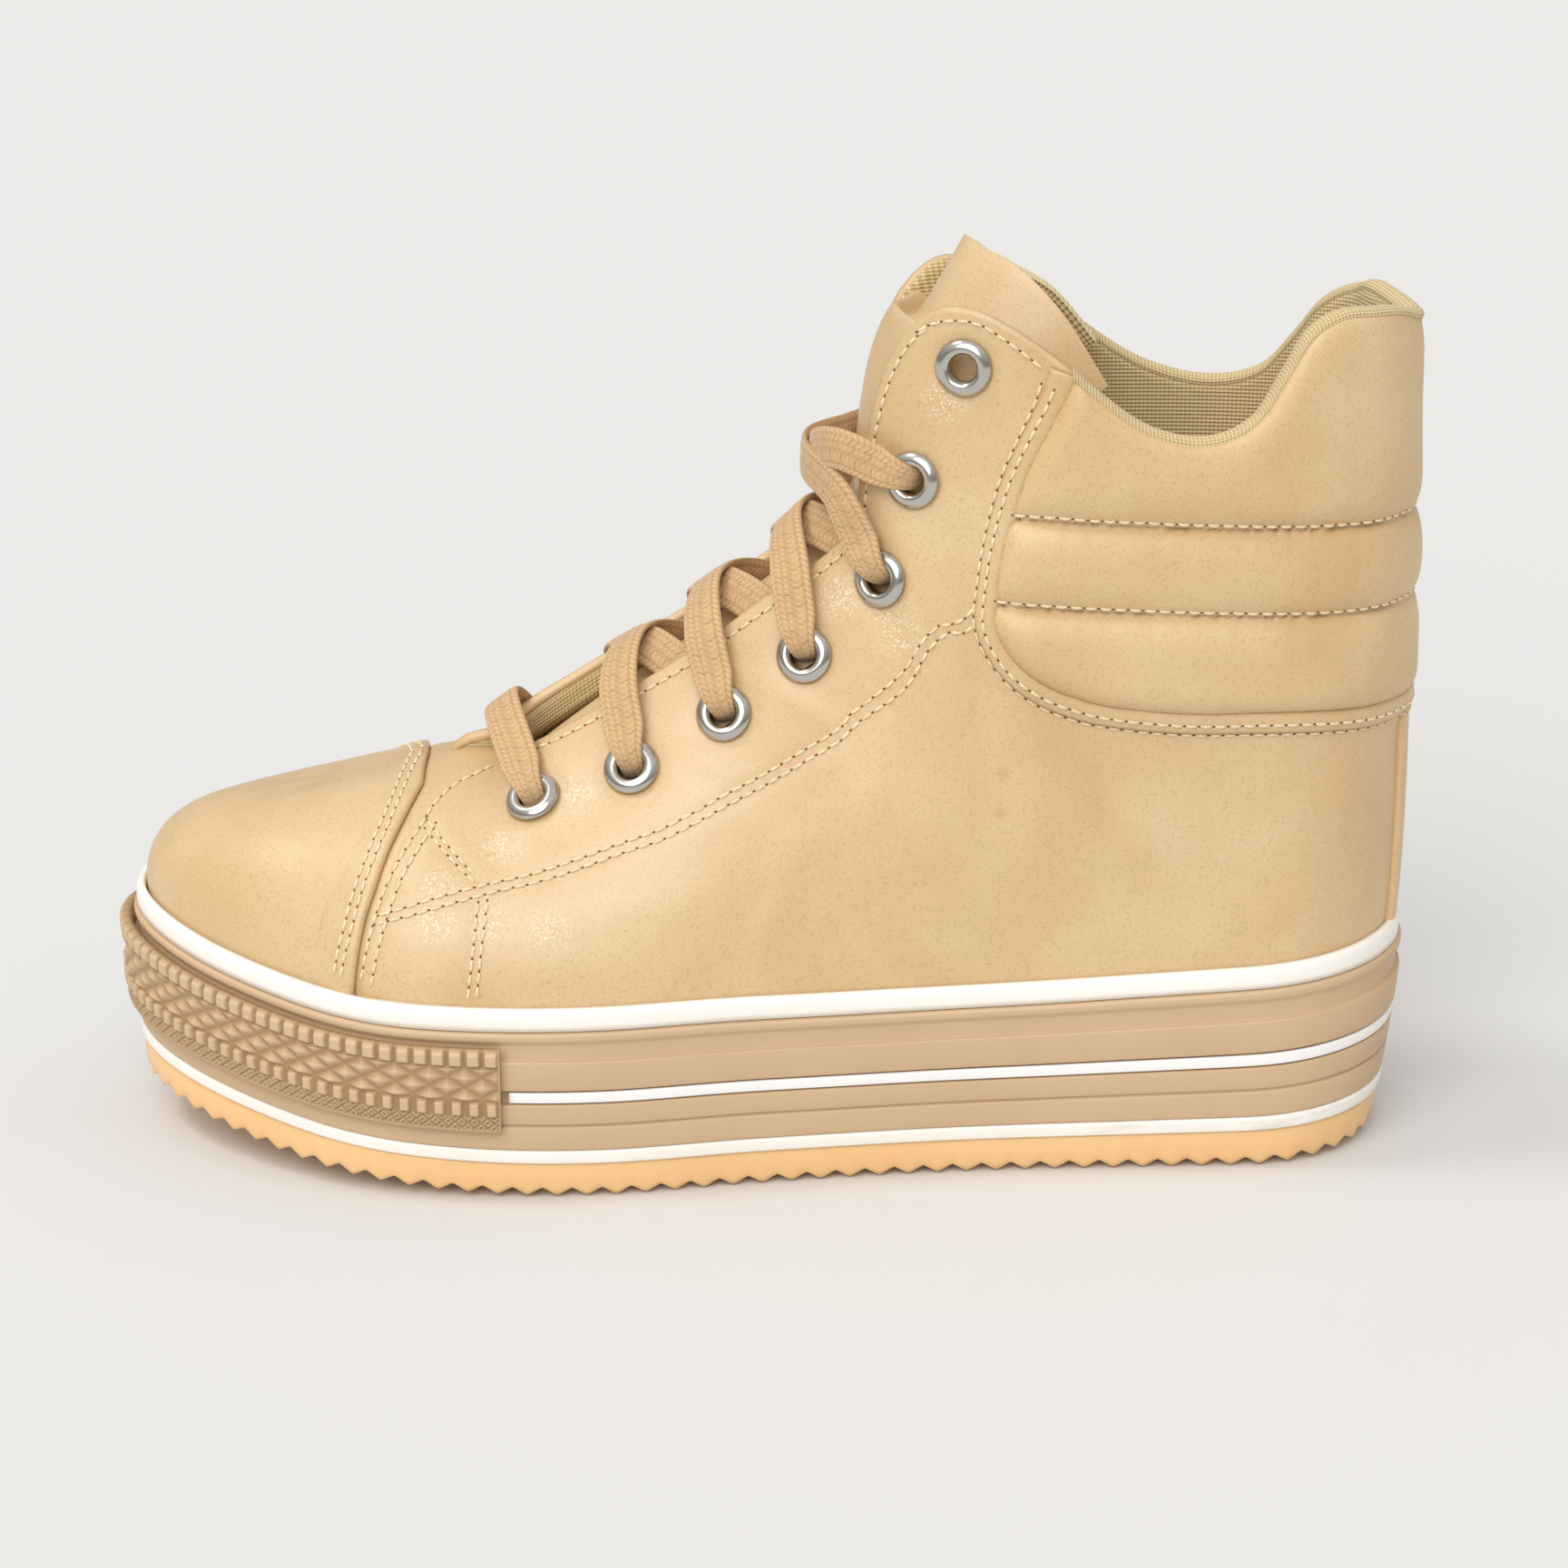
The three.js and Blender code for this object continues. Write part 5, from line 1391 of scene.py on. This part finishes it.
def binding_place(s, t):
    k = np.rint(s * PAD_COLS).astype(int)
    turn = 2 * np.pi * t
    p = rim_line[k] + rim_n[k] * (0.15 + 2.35 * np.cos(turn))[:, None]
    p = p + rim_up[k] * (-0.3 + 1.5 * np.sin(turn))[:, None]
    return p, np.stack([rim_walk[k], t * 12.0], -1)


binding = skin("mesh_binding", PAD_COLS, 20, binding_place, closed=True)
dress(binding, lining, "mesh_lining")


def insole_place(s, t):
    k = np.rint(t * 6).astype(int)
    pull = np.array([1, 0.02, 0, 0, 0.02, 0.08, 1])[k]
    up = np.array([0, 0, 0.5, 2.4, 2.9, 3.0, 3.0])[k]
    turn, side = round_the_shoe(s)
    share = outline(turn, side)[:, 0] / SOLE_LENGTH
    p, _ = rim(turn, side, insole_off(share))
    p[:, 1] = lerp(p[:, 1], bend(p[:, 0]), pull)
    q = np.concatenate([p, (sole_z(p[:, 0], 1.0) + GAP + up)[:, None]], -1)
    return q, q[:, :2]


insole = skin("covered_insole", 300, 6, insole_place, closed=True)
dress(insole, lining, "mesh_lining", "insole")

# %% [markdown]
# On the inner side of the throat the eyestay's edge stands up, and the camera looks over
# the near edge onto its mesh lining. It is a thin upright wall on the throat's far edge,
# highest where the throat begins, with a rolled leather edge.

# %% Far edge of the throat
FAR_WALL = [(-0.9, -3.0, 0), (-0.9, -0.9, 1), (-1.45, -0.3, 1), (-1.4, 0.5, 1), (-0.8, 1.1, 1),
            (0.0, 1.25, 1), (0.8, 1.0, 1), (1.2, 0.3, 1), (1.1, -3.0, 0), (-0.9, -3.0, 0)]
FAR_LINING = [(-1.0, -2.6, 0), (-1.15, -1.8, 0.3), (-1.2, -1.2, 0.7), (-1.15, -0.7, 1)]
FAR_FROM, FAR_TO, FAR_RISE = 18.6, 26.4, 4.4


def along_far_edge(table):
    """Places a section of (sideways, up, share of the rise) along the throat's far edge."""
    rows = np.array(table)

    def place(s, t):
        out, up, lifted = rows[row_at(t, rows)].T
        u = -lerp(FAR_FROM, FAR_TO, s)
        edge = face(u, 1.0)
        along = unit(face(u - 0.1, 1.0) - face(u + 0.1, 1.0))
        lift = FAR_RISE * np.clip((FAR_TO + u) / 1.6, 0, 1) ** 0.6
        lift = lift * np.clip((-u - FAR_FROM) / 5, 0, 1)
        climb = unit(unit(edge - face(u, 0.97)) * 0.45 + np.array([0, -0.25, 0.75]))
        outward = unit(np.cross(along, climb))
        outward = outward * np.where(outward[:, 1] > 0, -1.0, 1.0)[:, None]
        p = edge - climb * 0.6 + outward * out[:, None] + climb * (up + lift * lifted)[:, None]
        return p, np.stack([s * 100, up + lift * lifted], -1)

    return place


far_wall = skin("far_eyestay_edge", 150, len(FAR_WALL) - 1, along_far_edge(FAR_WALL), closed=True)
dress(far_wall, leather, "tan_leather")
far_lining = skin("far_eyestay_lining", 150, len(FAR_LINING) - 1, along_far_edge(FAR_LINING))
apply_modifier(far_lining, "SOLIDIFY", thickness=0.0004, offset=0.0)
dress(far_lining, lining, "mesh_lining")

# %% [markdown]
# The tongue is leather outside, foam inside and mesh underneath. Under the laces it
# follows the throat, and above them it stands free and curls round the ankle. Its
# sections are the same as the solid's, with a smooth surface run through them.

# %% Tongue
TONGUE_ROWS = [
    (27.0, -5.4, 15, 5.6), (25.6, -5.0, 15, 5.6), (24.4, -3.8, 16, 5.4), (23.4, -2.2, 16, 5.2),
    (22.3, -1.0, 16, 5.0), (21.2, -0.4, 16, 5.0), (20.1, 0.0, 16, 5.0), (19.0, 0.2, 15, 5.5),
    (17.9, 0.5, 15, 5.5), (16.8, 1.3, 15, 5.2), (15.8, 2.2, 15, 5.0), (14.8, 2.8, 14, 5.0),
]
TONGUE_TOP = [(102.0, 172.0, 23, 26, 16), (92.5, 188.0, 21, 28, 26)]
TONGUE_THICK = 3.0
TONGUE_SLUMP = 6.0


def throat_centre(u, lift):
    middle = (face(u, 1.0) + face(-u, 1.0)) / 2
    n = unit(face_normal(u, 0.97) + face_normal(-u, 0.97))
    return middle + n * lift, n


def tongue_section(row):
    if len(row) == 5:
        x, z, half, back, down = row
        w = np.array([-1, -0.82, -0.58, -0.28, 0, 0.28, 0.58, 0.82, 1])
        slump = np.where(w < 0, TONGUE_SLUMP * np.sin(np.pi * np.abs(w)), 0) * (z - 160) / 28
        return np.stack([x - back * w * w,
                         bend(x) * 0.6 + half * np.sin(w * 1.35) / math.sin(1.35),
                         z - down * w**4 - slump], -1)
    u, lift, setback, depth = row

    def below(side, back):
        v = float(setback_to_v(side * u, back))
        return face(side * u, v) - face_normal(side * u, v) * depth

    centre, n = throat_centre(u, lift)
    edge = 1 if u < THROAT_COLUMN else 6
    left, right = below(-1, edge), below(1, edge)
    return np.array([
        below(-1, setback), below(-1, setback * 0.55), left,
        lerp(centre, left, 0.45) + n * 0.6, centre, lerp(centre, right, 0.45) + n * 0.6,
        right, below(1, setback * 0.55), below(1, setback),
    ])


tongue_net = np.array([tongue_section(row) for row in [*TONGUE_ROWS, *TONGUE_TOP]])


def through(net, s, t):
    """Smooth surface through a net of points; s runs along its rows, t across."""
    last_row, last_col = net.shape[0] - 1, net.shape[1] - 1
    a, b = s * last_row, t * last_col
    out = np.empty((len(s), 3))
    for axis in range(3):
        lines = np.stack(smooth_rows(net[:, :, axis], a), 1)
        i = np.clip(b.astype(int), 0, last_col - 1)
        f = b - i
        before, after = np.clip(i - 1, 0, None), np.clip(i + 2, None, last_col)
        at = np.arange(len(s))
        p0, p1, p2, p3 = lines[at, before], lines[at, i], lines[at, i + 1], lines[at, after]
        out[:, axis] = 0.5 * (2 * p1 + (p2 - p0) * f + (2 * p0 - 5 * p1 + 4 * p2 - p3) * f**2
                              + (3 * p1 - p0 - 3 * p2 + p3) * f**3)
    return out


TONGUE_COLS, TONGUE_STRIPS = 120, 56
TONGUE_LONG, TONGUE_WIDE = 150, 70


def tongue_place(s, t):
    return through(tongue_net, s, t), np.stack([s * TONGUE_LONG, t * TONGUE_WIDE], -1)


tongue = skin("padded_tongue", TONGUE_COLS, TONGUE_STRIPS, tongue_place, weld=0.01)
top_face = max(tongue.data.polygons, key=lambda face_of: face_of.center.z)
if top_face.normal.x < 0:
    edit(tongue, bpy.ops.mesh.flip_normals)
tongue.data.materials.append(leather)
tongue.data.materials.append(lining)
apply_modifier(tongue, "SOLIDIFY", thickness=TONGUE_THICK / 1000, offset=-1.0,
               material_offset=1, material_offset_rim=1)
apply_modifier(tongue, "BEVEL", width=0.0011, segments=3, limit_method="ANGLE",
               angle_limit=math.radians(50))
dress(tongue, leather, "tan_leather", "tongue")

# %% [markdown]
# An eyelet is pressed from nickel-plated brass: a rolled flange on the leather and a short
# barrel through it. One profile is turned round a full circle, and fourteen copies go to
# their places, each turned to stand square on the leather.

# %% Eyelets
EYELET_PROFILE = np.array([
    (2.8, -1.6), (2.8, 0.2), (2.86, 0.75), (3.05, 1.15), (3.4, 1.42), (3.9, 1.5), (4.5, 1.38),
    (5.1, 1.05), (5.55, 0.62), (5.75, 0.3), (5.6, 0.12), (3.35, 0.3), (3.3, -1.6), (2.8, -1.6),
])


def eyelet_place(s, t):
    r, z = EYELET_PROFILE[row_at(t, EYELET_PROFILE)].T
    turn = 2 * np.pi * s
    return np.stack([r * np.cos(turn), r * np.sin(turn), z], -1) + MIDDLE


nickel, nickel_tree, nickel_surface = finish_material("nickel_plated_brass", {
    "Base Color": linear("#C4C1BA"), "Metallic": 1.0, "Roughness": 0.2,
})
nickel_noise = add_node(nickel_tree, "TexNoise", {
    "Vector": object_place(nickel_tree), "Scale": 900, "Detail": 3,
})
bump_into(nickel_tree, nickel_surface, nickel_noise.outputs["Fac"], 0.12, 0.00005)
model_eyelet = skin("eyelet_model", 72, len(EYELET_PROFILE) - 1, eyelet_place, closed=True,
                    weld=0.005)
for e in eyelets:
    copied = model_eyelet.copy()
    copied.data = model_eyelet.data.copy()
    copied.name = copied.data.name = "ring_" + e["name"]
    bpy.context.scene.collection.objects.link(copied)
    turned = turned_to(e["n"])
    turned.translation = Vector(to_scene(e["p"]))
    copied.data.transform(turned)
    dress(copied, nickel, "nickel", "eyelet_" + e["name"])
bpy.data.objects.remove(model_eyelet)

# %% [markdown]
# The lace is a flat tubular braid of soft yarn. Its section is a flat lens, and its face
# shows slanted yarns that lean one way in one rib and the other way in the next. The yarn
# relief is real: it is a height at each corner of a fine grid, and the same height is kept
# as an attribute, which the finish uses to paint shade into the gaps between yarns.

# %% Laces
LACE_WIDTH, LACE_THICK = 8.5, 1.3
LACE_STEP, LACE_SIDES = 0.36, 44
RIB_WIDE, YARN_PITCH, YARN_PROUD = 1.42, 1.2, 0.34
braid, braid_tree, braid_surface = finish_material("braided_polyester", {
    "Roughness": 0.8, "Sheen Weight": 0.3, "Sheen Roughness": 0.4, "IOR": 1.45,
    "Specular IOR Level": 0.35,
})
# Painted shade: the colour darkens in the gaps between yarns, where the yarn attribute is low
yarn = add_node(braid_tree, "Attribute", attribute_name="yarn")
colour_by(braid_tree, braid_surface,
          mix(braid_tree, yarn.outputs["Fac"], "#96714A", "#DDB88A"))
fuzz = add_node(braid_tree, "TexNoise", {
    "Vector": object_place(braid_tree), "Scale": 4500, "Detail": 2,
})
bump_into(braid_tree, braid_surface, fuzz.outputs["Fac"], 0.4, 0.0001)


def braid_height(along, across):
    """Yarn height from 0 to 1, on ribs whose yarns lean one way and the other by turns."""
    rib = across / RIB_WIDE
    lean = np.where(np.floor(rib) % 2 == 0, 1.0, -1.0)
    inside_rib = rib - np.floor(rib) - 0.5
    yarn_at = (along / YARN_PITCH + lean * inside_rib * 0.8) % 1.0
    arch = np.sqrt(np.clip(1 - (2 * yarn_at - 1) ** 2, 0, 1))
    side_arch = np.sqrt(np.clip(1 - (2 * inside_rib) ** 2, 0, 1))
    return np.clip(0.1 + 0.9 * arch * (0.2 + 0.8 * side_arch), 0, 1)


def lace(name, stations):
    """Braided band through stations of (point, normal, width)."""
    points = np.array([s[0] for s in stations])
    normals = np.array([s[1] for s in stations])
    widths = np.array([s[2] for s in stations])
    chord = walk_along(points)

    def read(values, d):
        return np.stack([smooth(np.stack([chord, values[:, k]], 1), d) for k in range(3)], -1)

    def place(s, t):
        d = s * chord[-1]
        p = read(points, d)
        tangent = unit(read(points, d + 0.2) - read(points, d - 0.2))
        n = read(normals, d)
        n = unit(n - tangent * (n * tangent).sum(-1, keepdims=True))
        across = np.cross(tangent, n)
        width = np.interp(d, chord, widths)
        turn = 2 * np.pi * t
        w, h = np.cos(turn), np.sin(turn)
        flat = np.sign(w) * np.abs(w) ** 0.75
        lens = np.sign(h) * np.abs(h) ** 0.7
        thick = LACE_THICK * (LACE_WIDTH / width) ** 0.6
        yarns = braid_height(d, flat * LACE_WIDTH / 2 + 20)
        skin_h = thick / 2 * lens + YARN_PROUD * np.sign(h) * (yarns - 0.5) * np.abs(lens)
        p = p + across * (flat * width / 2)[:, None] + n * skin_h[:, None]
        return p, np.stack([d, flat * width], -1), yarns

    return skin(name, int(chord[-1] / LACE_STEP), LACE_SIDES, place, closed=True, weld=0.01,
                marks=["yarn"])


def lace_station(u, setback, lift, width=LACE_WIDTH):
    v = float(setback_to_v(u, setback)) if setback > 0 else 1.0
    n = face_normal(u, v)
    return face(u, v) + n * lift, n, width


OVER_WALL = GAP + LACE_THICK / 2 + 0.6
UNDER_WALL = -(WALL + GAP + LACE_THICK / 2 + 0.6)


def out_of_eyelet(k, side, toward):
    """The lace rises out of an eyelet and turns over its flange toward a point."""
    e = next(e for e in eyelets if e["k"] == k and e["side"] == side)
    away = toward - e["p"]
    away = unit(away - e["n"] * (away @ e["n"]))
    return [
        (e["p"] - e["n"] * 3.4, unit(0.2 * e["n"] - away), 4.8),
        (e["p"] - e["n"] * 0.6 + away * 0.6, unit(0.4 * e["n"] - away), 5.0),
        (e["p"] + e["n"] * 1.5 + away * 2.1, unit(e["n"] - away * 0.7), 5.8),
        (e["p"] + e["n"] * 2.5 + away * 4.4, unit(e["n"] - away * 0.15), 7.0),
        (e["p"] + e["n"] * 2.5 + away * 7.4, e["n"], 8.2),
    ]


def crossing(k, side, lift, over=False):
    """From eyelet k + 1 on one side, across the throat to eyelet k + 2 on the other."""
    u0, u1 = EYELET_COLUMNS[k], EYELET_COLUMNS[k + 1]
    near_edge = lace_station(side * lerp(u0, u1, 0.2), 0, OVER_WALL + (3.2 if over else 2.0))
    middle, n = throat_centre(lerp(u0, u1, 0.4 if over else 0.5), lift)
    stations = [*out_of_eyelet(k, side, near_edge[0]), near_edge, (middle, n, LACE_WIDTH)]
    if over:
        share, rise = (0.6, 3.2) if side < 0 else (0.4, 0.8)
        far_edge = lace_station(-side * lerp(u0, u1, share), 0, OVER_WALL + rise)
        return [*stations, far_edge, *out_of_eyelet(k + 1, -side, far_edge[0])[::-1]]
    return [
        *stations,
        lace_station(-side * lerp(u0, u1, 0.76), 0.6, UNDER_WALL),
        lace_station(-side * lerp(u0, u1, 0.84), 4.5, UNDER_WALL - 0.2),
    ]


CROSS_LIFTS = [0, 6.0, 6.6, 7.6, 10.6]
for k in (1, 2, 3, 4):
    outer_band = lace(f"lace_{k + 1}_outer", crossing(k, 1, CROSS_LIFTS[k] + 0.5, over=k == 4))
    inner_band = lace(f"lace_{k + 1}_inner", crossing(k, -1, CROSS_LIFTS[k] - 1.1, over=k == 4))
    dress(outer_band, braid, "lace_braid", f"lace_cross_{k + 1}")
    dress(inner_band, braid, "lace_braid")
bar_middle, bar_n = throat_centre(EYELET_COLUMNS[0], 9.0)
bar = lace("lace_bar_braid", [
    *out_of_eyelet(0, 1, bar_middle), (bar_middle, bar_n, LACE_WIDTH),
    *out_of_eyelet(0, -1, bar_middle)[::-1],
])
dress(bar, braid, "lace_braid", "lace_bar")

# %% [markdown]
# The stitches are short lengths of thick cream thread, each sunk a little at its ends,
# with a dark needle hole between one and the next. Every row is walked at the stitch
# length, and each stitch is dropped onto whatever leather lies there.

# %% Stitches
STITCH, THREAD = 2.9, 0.34
leathers = []
for piece in (upper, pad, quarter, cap_edge, stay, tongue):
    leathers.append(BVHTree.FromObject(piece, bpy.context.evaluated_depsgraph_get()))


def drop(points, normals):
    """Each point moved onto the outermost leather along its normal, with its own normal."""
    hits, facing_out = [], []
    for p, n in zip(to_scene(points), normals):
        start = Vector(p + n * 0.009)
        found = [tree.ray_cast(start, Vector(-n), 0.014) for tree in leathers]
        found = [f for f in found if f[0] is not None]
        if not found:
            hits.append(None)
            facing_out.append(None)
            continue
        best = min(found, key=lambda f: f[3])
        hits.append(np.array(best[0]) * 1000 + MIDDLE)
        facing_out.append(np.array(best[1]) if best[1].dot(Vector(n)) > 0 else -np.array(best[1]))
    return hits, facing_out


def walk_row(uv, step=STITCH):
    """Points every step millimetres along a row of (u, v), with the upper's normals."""
    u, v = smooth_rows(uv, np.linspace(0, len(uv) - 1, 60 * len(uv)))
    v = np.clip(v, 0, 1)
    line = face(u, v)
    walk = walk_along(line)
    wanted = np.arange(0, walk[-1], step)
    u, v = np.interp(wanted, walk, u), np.interp(wanted, walk, v)
    return face(u, v), face_normal(u, v)


def quarter_row(distance):
    keep = slice(6, -6)
    u, v = beside(edge_u[keep], edge_z[keep], edge_across[keep],
                  np.full(len(edge_u[keep]), distance))
    return np.stack([u, v], 1)


def channel_row(which):
    c = pad_c[4:-4]
    side = side_of(c)
    low_u, low_z, top_u = pad_edge(c)
    high = face(side * top_u, 1.0)[:, 2]
    x = face(side * low_u, height_to_v(side * low_u, low_z))[:, 0]
    z = channels(x)[which] + 0.9
    keep = z > low_z + 2
    u = side * lerp(low_u, top_u, (z - low_z) / (high - low_z))
    return np.stack([u, height_to_v(u, z)], 1)[keep]


rows_on_shoe = []
for uv in row_uv.values():
    rows_on_shoe += [uv, uv * [-1, 1]]
edge_row_u = np.linspace(23.6, 14.0, 40)
for side in (1, -1):
    rows_on_shoe.append(np.stack([side * edge_row_u, setback_to_v(side * edge_row_u, 2.4)], 1))
rows_on_shoe += [quarter_row(2.2), quarter_row(4.4), channel_row(0), channel_row(1)]

SIDES = 6
ring_turns = 2 * np.pi * np.arange(SIDES) / SIDES
THREAD_ROWS = [(0.02, 0.35, -0.1), (0.14, 0.85, 0.0), (0.38, 1.0, 0.1), (0.62, 1.0, 0.1),
               (0.86, 0.85, 0.0), (0.98, 0.35, -0.1)]
thread_points, thread_faces, hole_points, hole_faces = [], [], [], []
for uv in rows_on_shoe:
    points, normals = drop(*walk_row(uv))
    for a, b, na, nb in zip(points, points[1:], normals, normals[1:]):
        if a is None or b is None or np.linalg.norm(b - a) > 1.7 * STITCH:
            continue
        n = unit(na + nb)
        along = unit(b - a)
        across = np.cross(along, n)
        start = len(thread_points)
        for f, wide, up in THREAD_ROWS:
            middle = lerp(a, b, lerp(0.1, 0.9, f)) + n * (up + 0.06)
            for turn in ring_turns:
                thread_points.append(middle + THREAD * wide * (
                    across * math.cos(turn) + n * math.sin(turn)))
        for r in range(len(THREAD_ROWS) - 1):
            for i in range(SIDES):
                j = (i + 1) % SIDES
                p, q = start + r * SIDES, start + (r + 1) * SIDES
                thread_faces.append((p + i, p + j, q + j, q + i))
        thread_faces.append(tuple(start + i for i in range(SIDES))[::-1])
        thread_faces.append(tuple(start + (len(THREAD_ROWS) - 1) * SIDES + i for i in range(SIDES)))
        start = len(hole_points)
        hole_points.append(a + na * 0.16)
        for turn in ring_turns:
            hole_points.append(a + na * 0.03 + 0.34 * (
                along * math.cos(turn) + across * 0.8 * math.sin(turn)))
        hole_faces += [(start, start + 1 + i, start + 1 + (i + 1) % SIDES) for i in range(SIDES)]


def from_lists(name, points, faces):
    mesh = bpy.data.meshes.new(name)
    mesh.from_pydata([tuple(p) for p in to_scene(points)], [], faces)
    piece = bpy.data.objects.new(name, mesh)
    bpy.context.scene.collection.objects.link(piece)
    edit(piece, lambda: bpy.ops.mesh.normals_make_consistent(inside=False))
    bpy.ops.object.shade_smooth()
    return piece


thread, thread_tree, thread_surface = finish_material("bonded_cream_thread", {
    "Roughness": 0.5, "Sheen Weight": 0.2, "IOR": 1.5,
})
ply = add_node(thread_tree, "TexWave", {
    "Vector": object_place(thread_tree), "Scale": 900, "Distortion": 1.0,
}, bands_direction="DIAGONAL")
colour_by(thread_tree, thread_surface,
          mix(thread_tree, ply.outputs["Fac"], "#E0C596", "#F6E6C4"))
bump_into(thread_tree, thread_surface, ply.outputs["Fac"], 0.5, 0.0001)
needle, needle_tree, needle_surface = finish_material("needle_hole_shadow", {
    "Roughness": 0.9, "Specular IOR Level": 0.1,
})
needle_noise = add_node(needle_tree, "TexNoise", {
    "Vector": object_place(needle_tree), "Scale": 500,
})
colour_by(needle_tree, needle_surface,
          mix(needle_tree, needle_noise.outputs["Fac"], "#6B4A2A", "#8A6238"))
stitches = from_lists("thread_stitches", thread_points, thread_faces)
dress(stitches, thread, "tan_leather")
holes = from_lists("needle_holes", hole_points, hole_faces)
dress(holes, needle, "tan_leather")
print("stitches:", len(thread_faces) // (SIDES * (len(THREAD_ROWS) - 1) + 2))
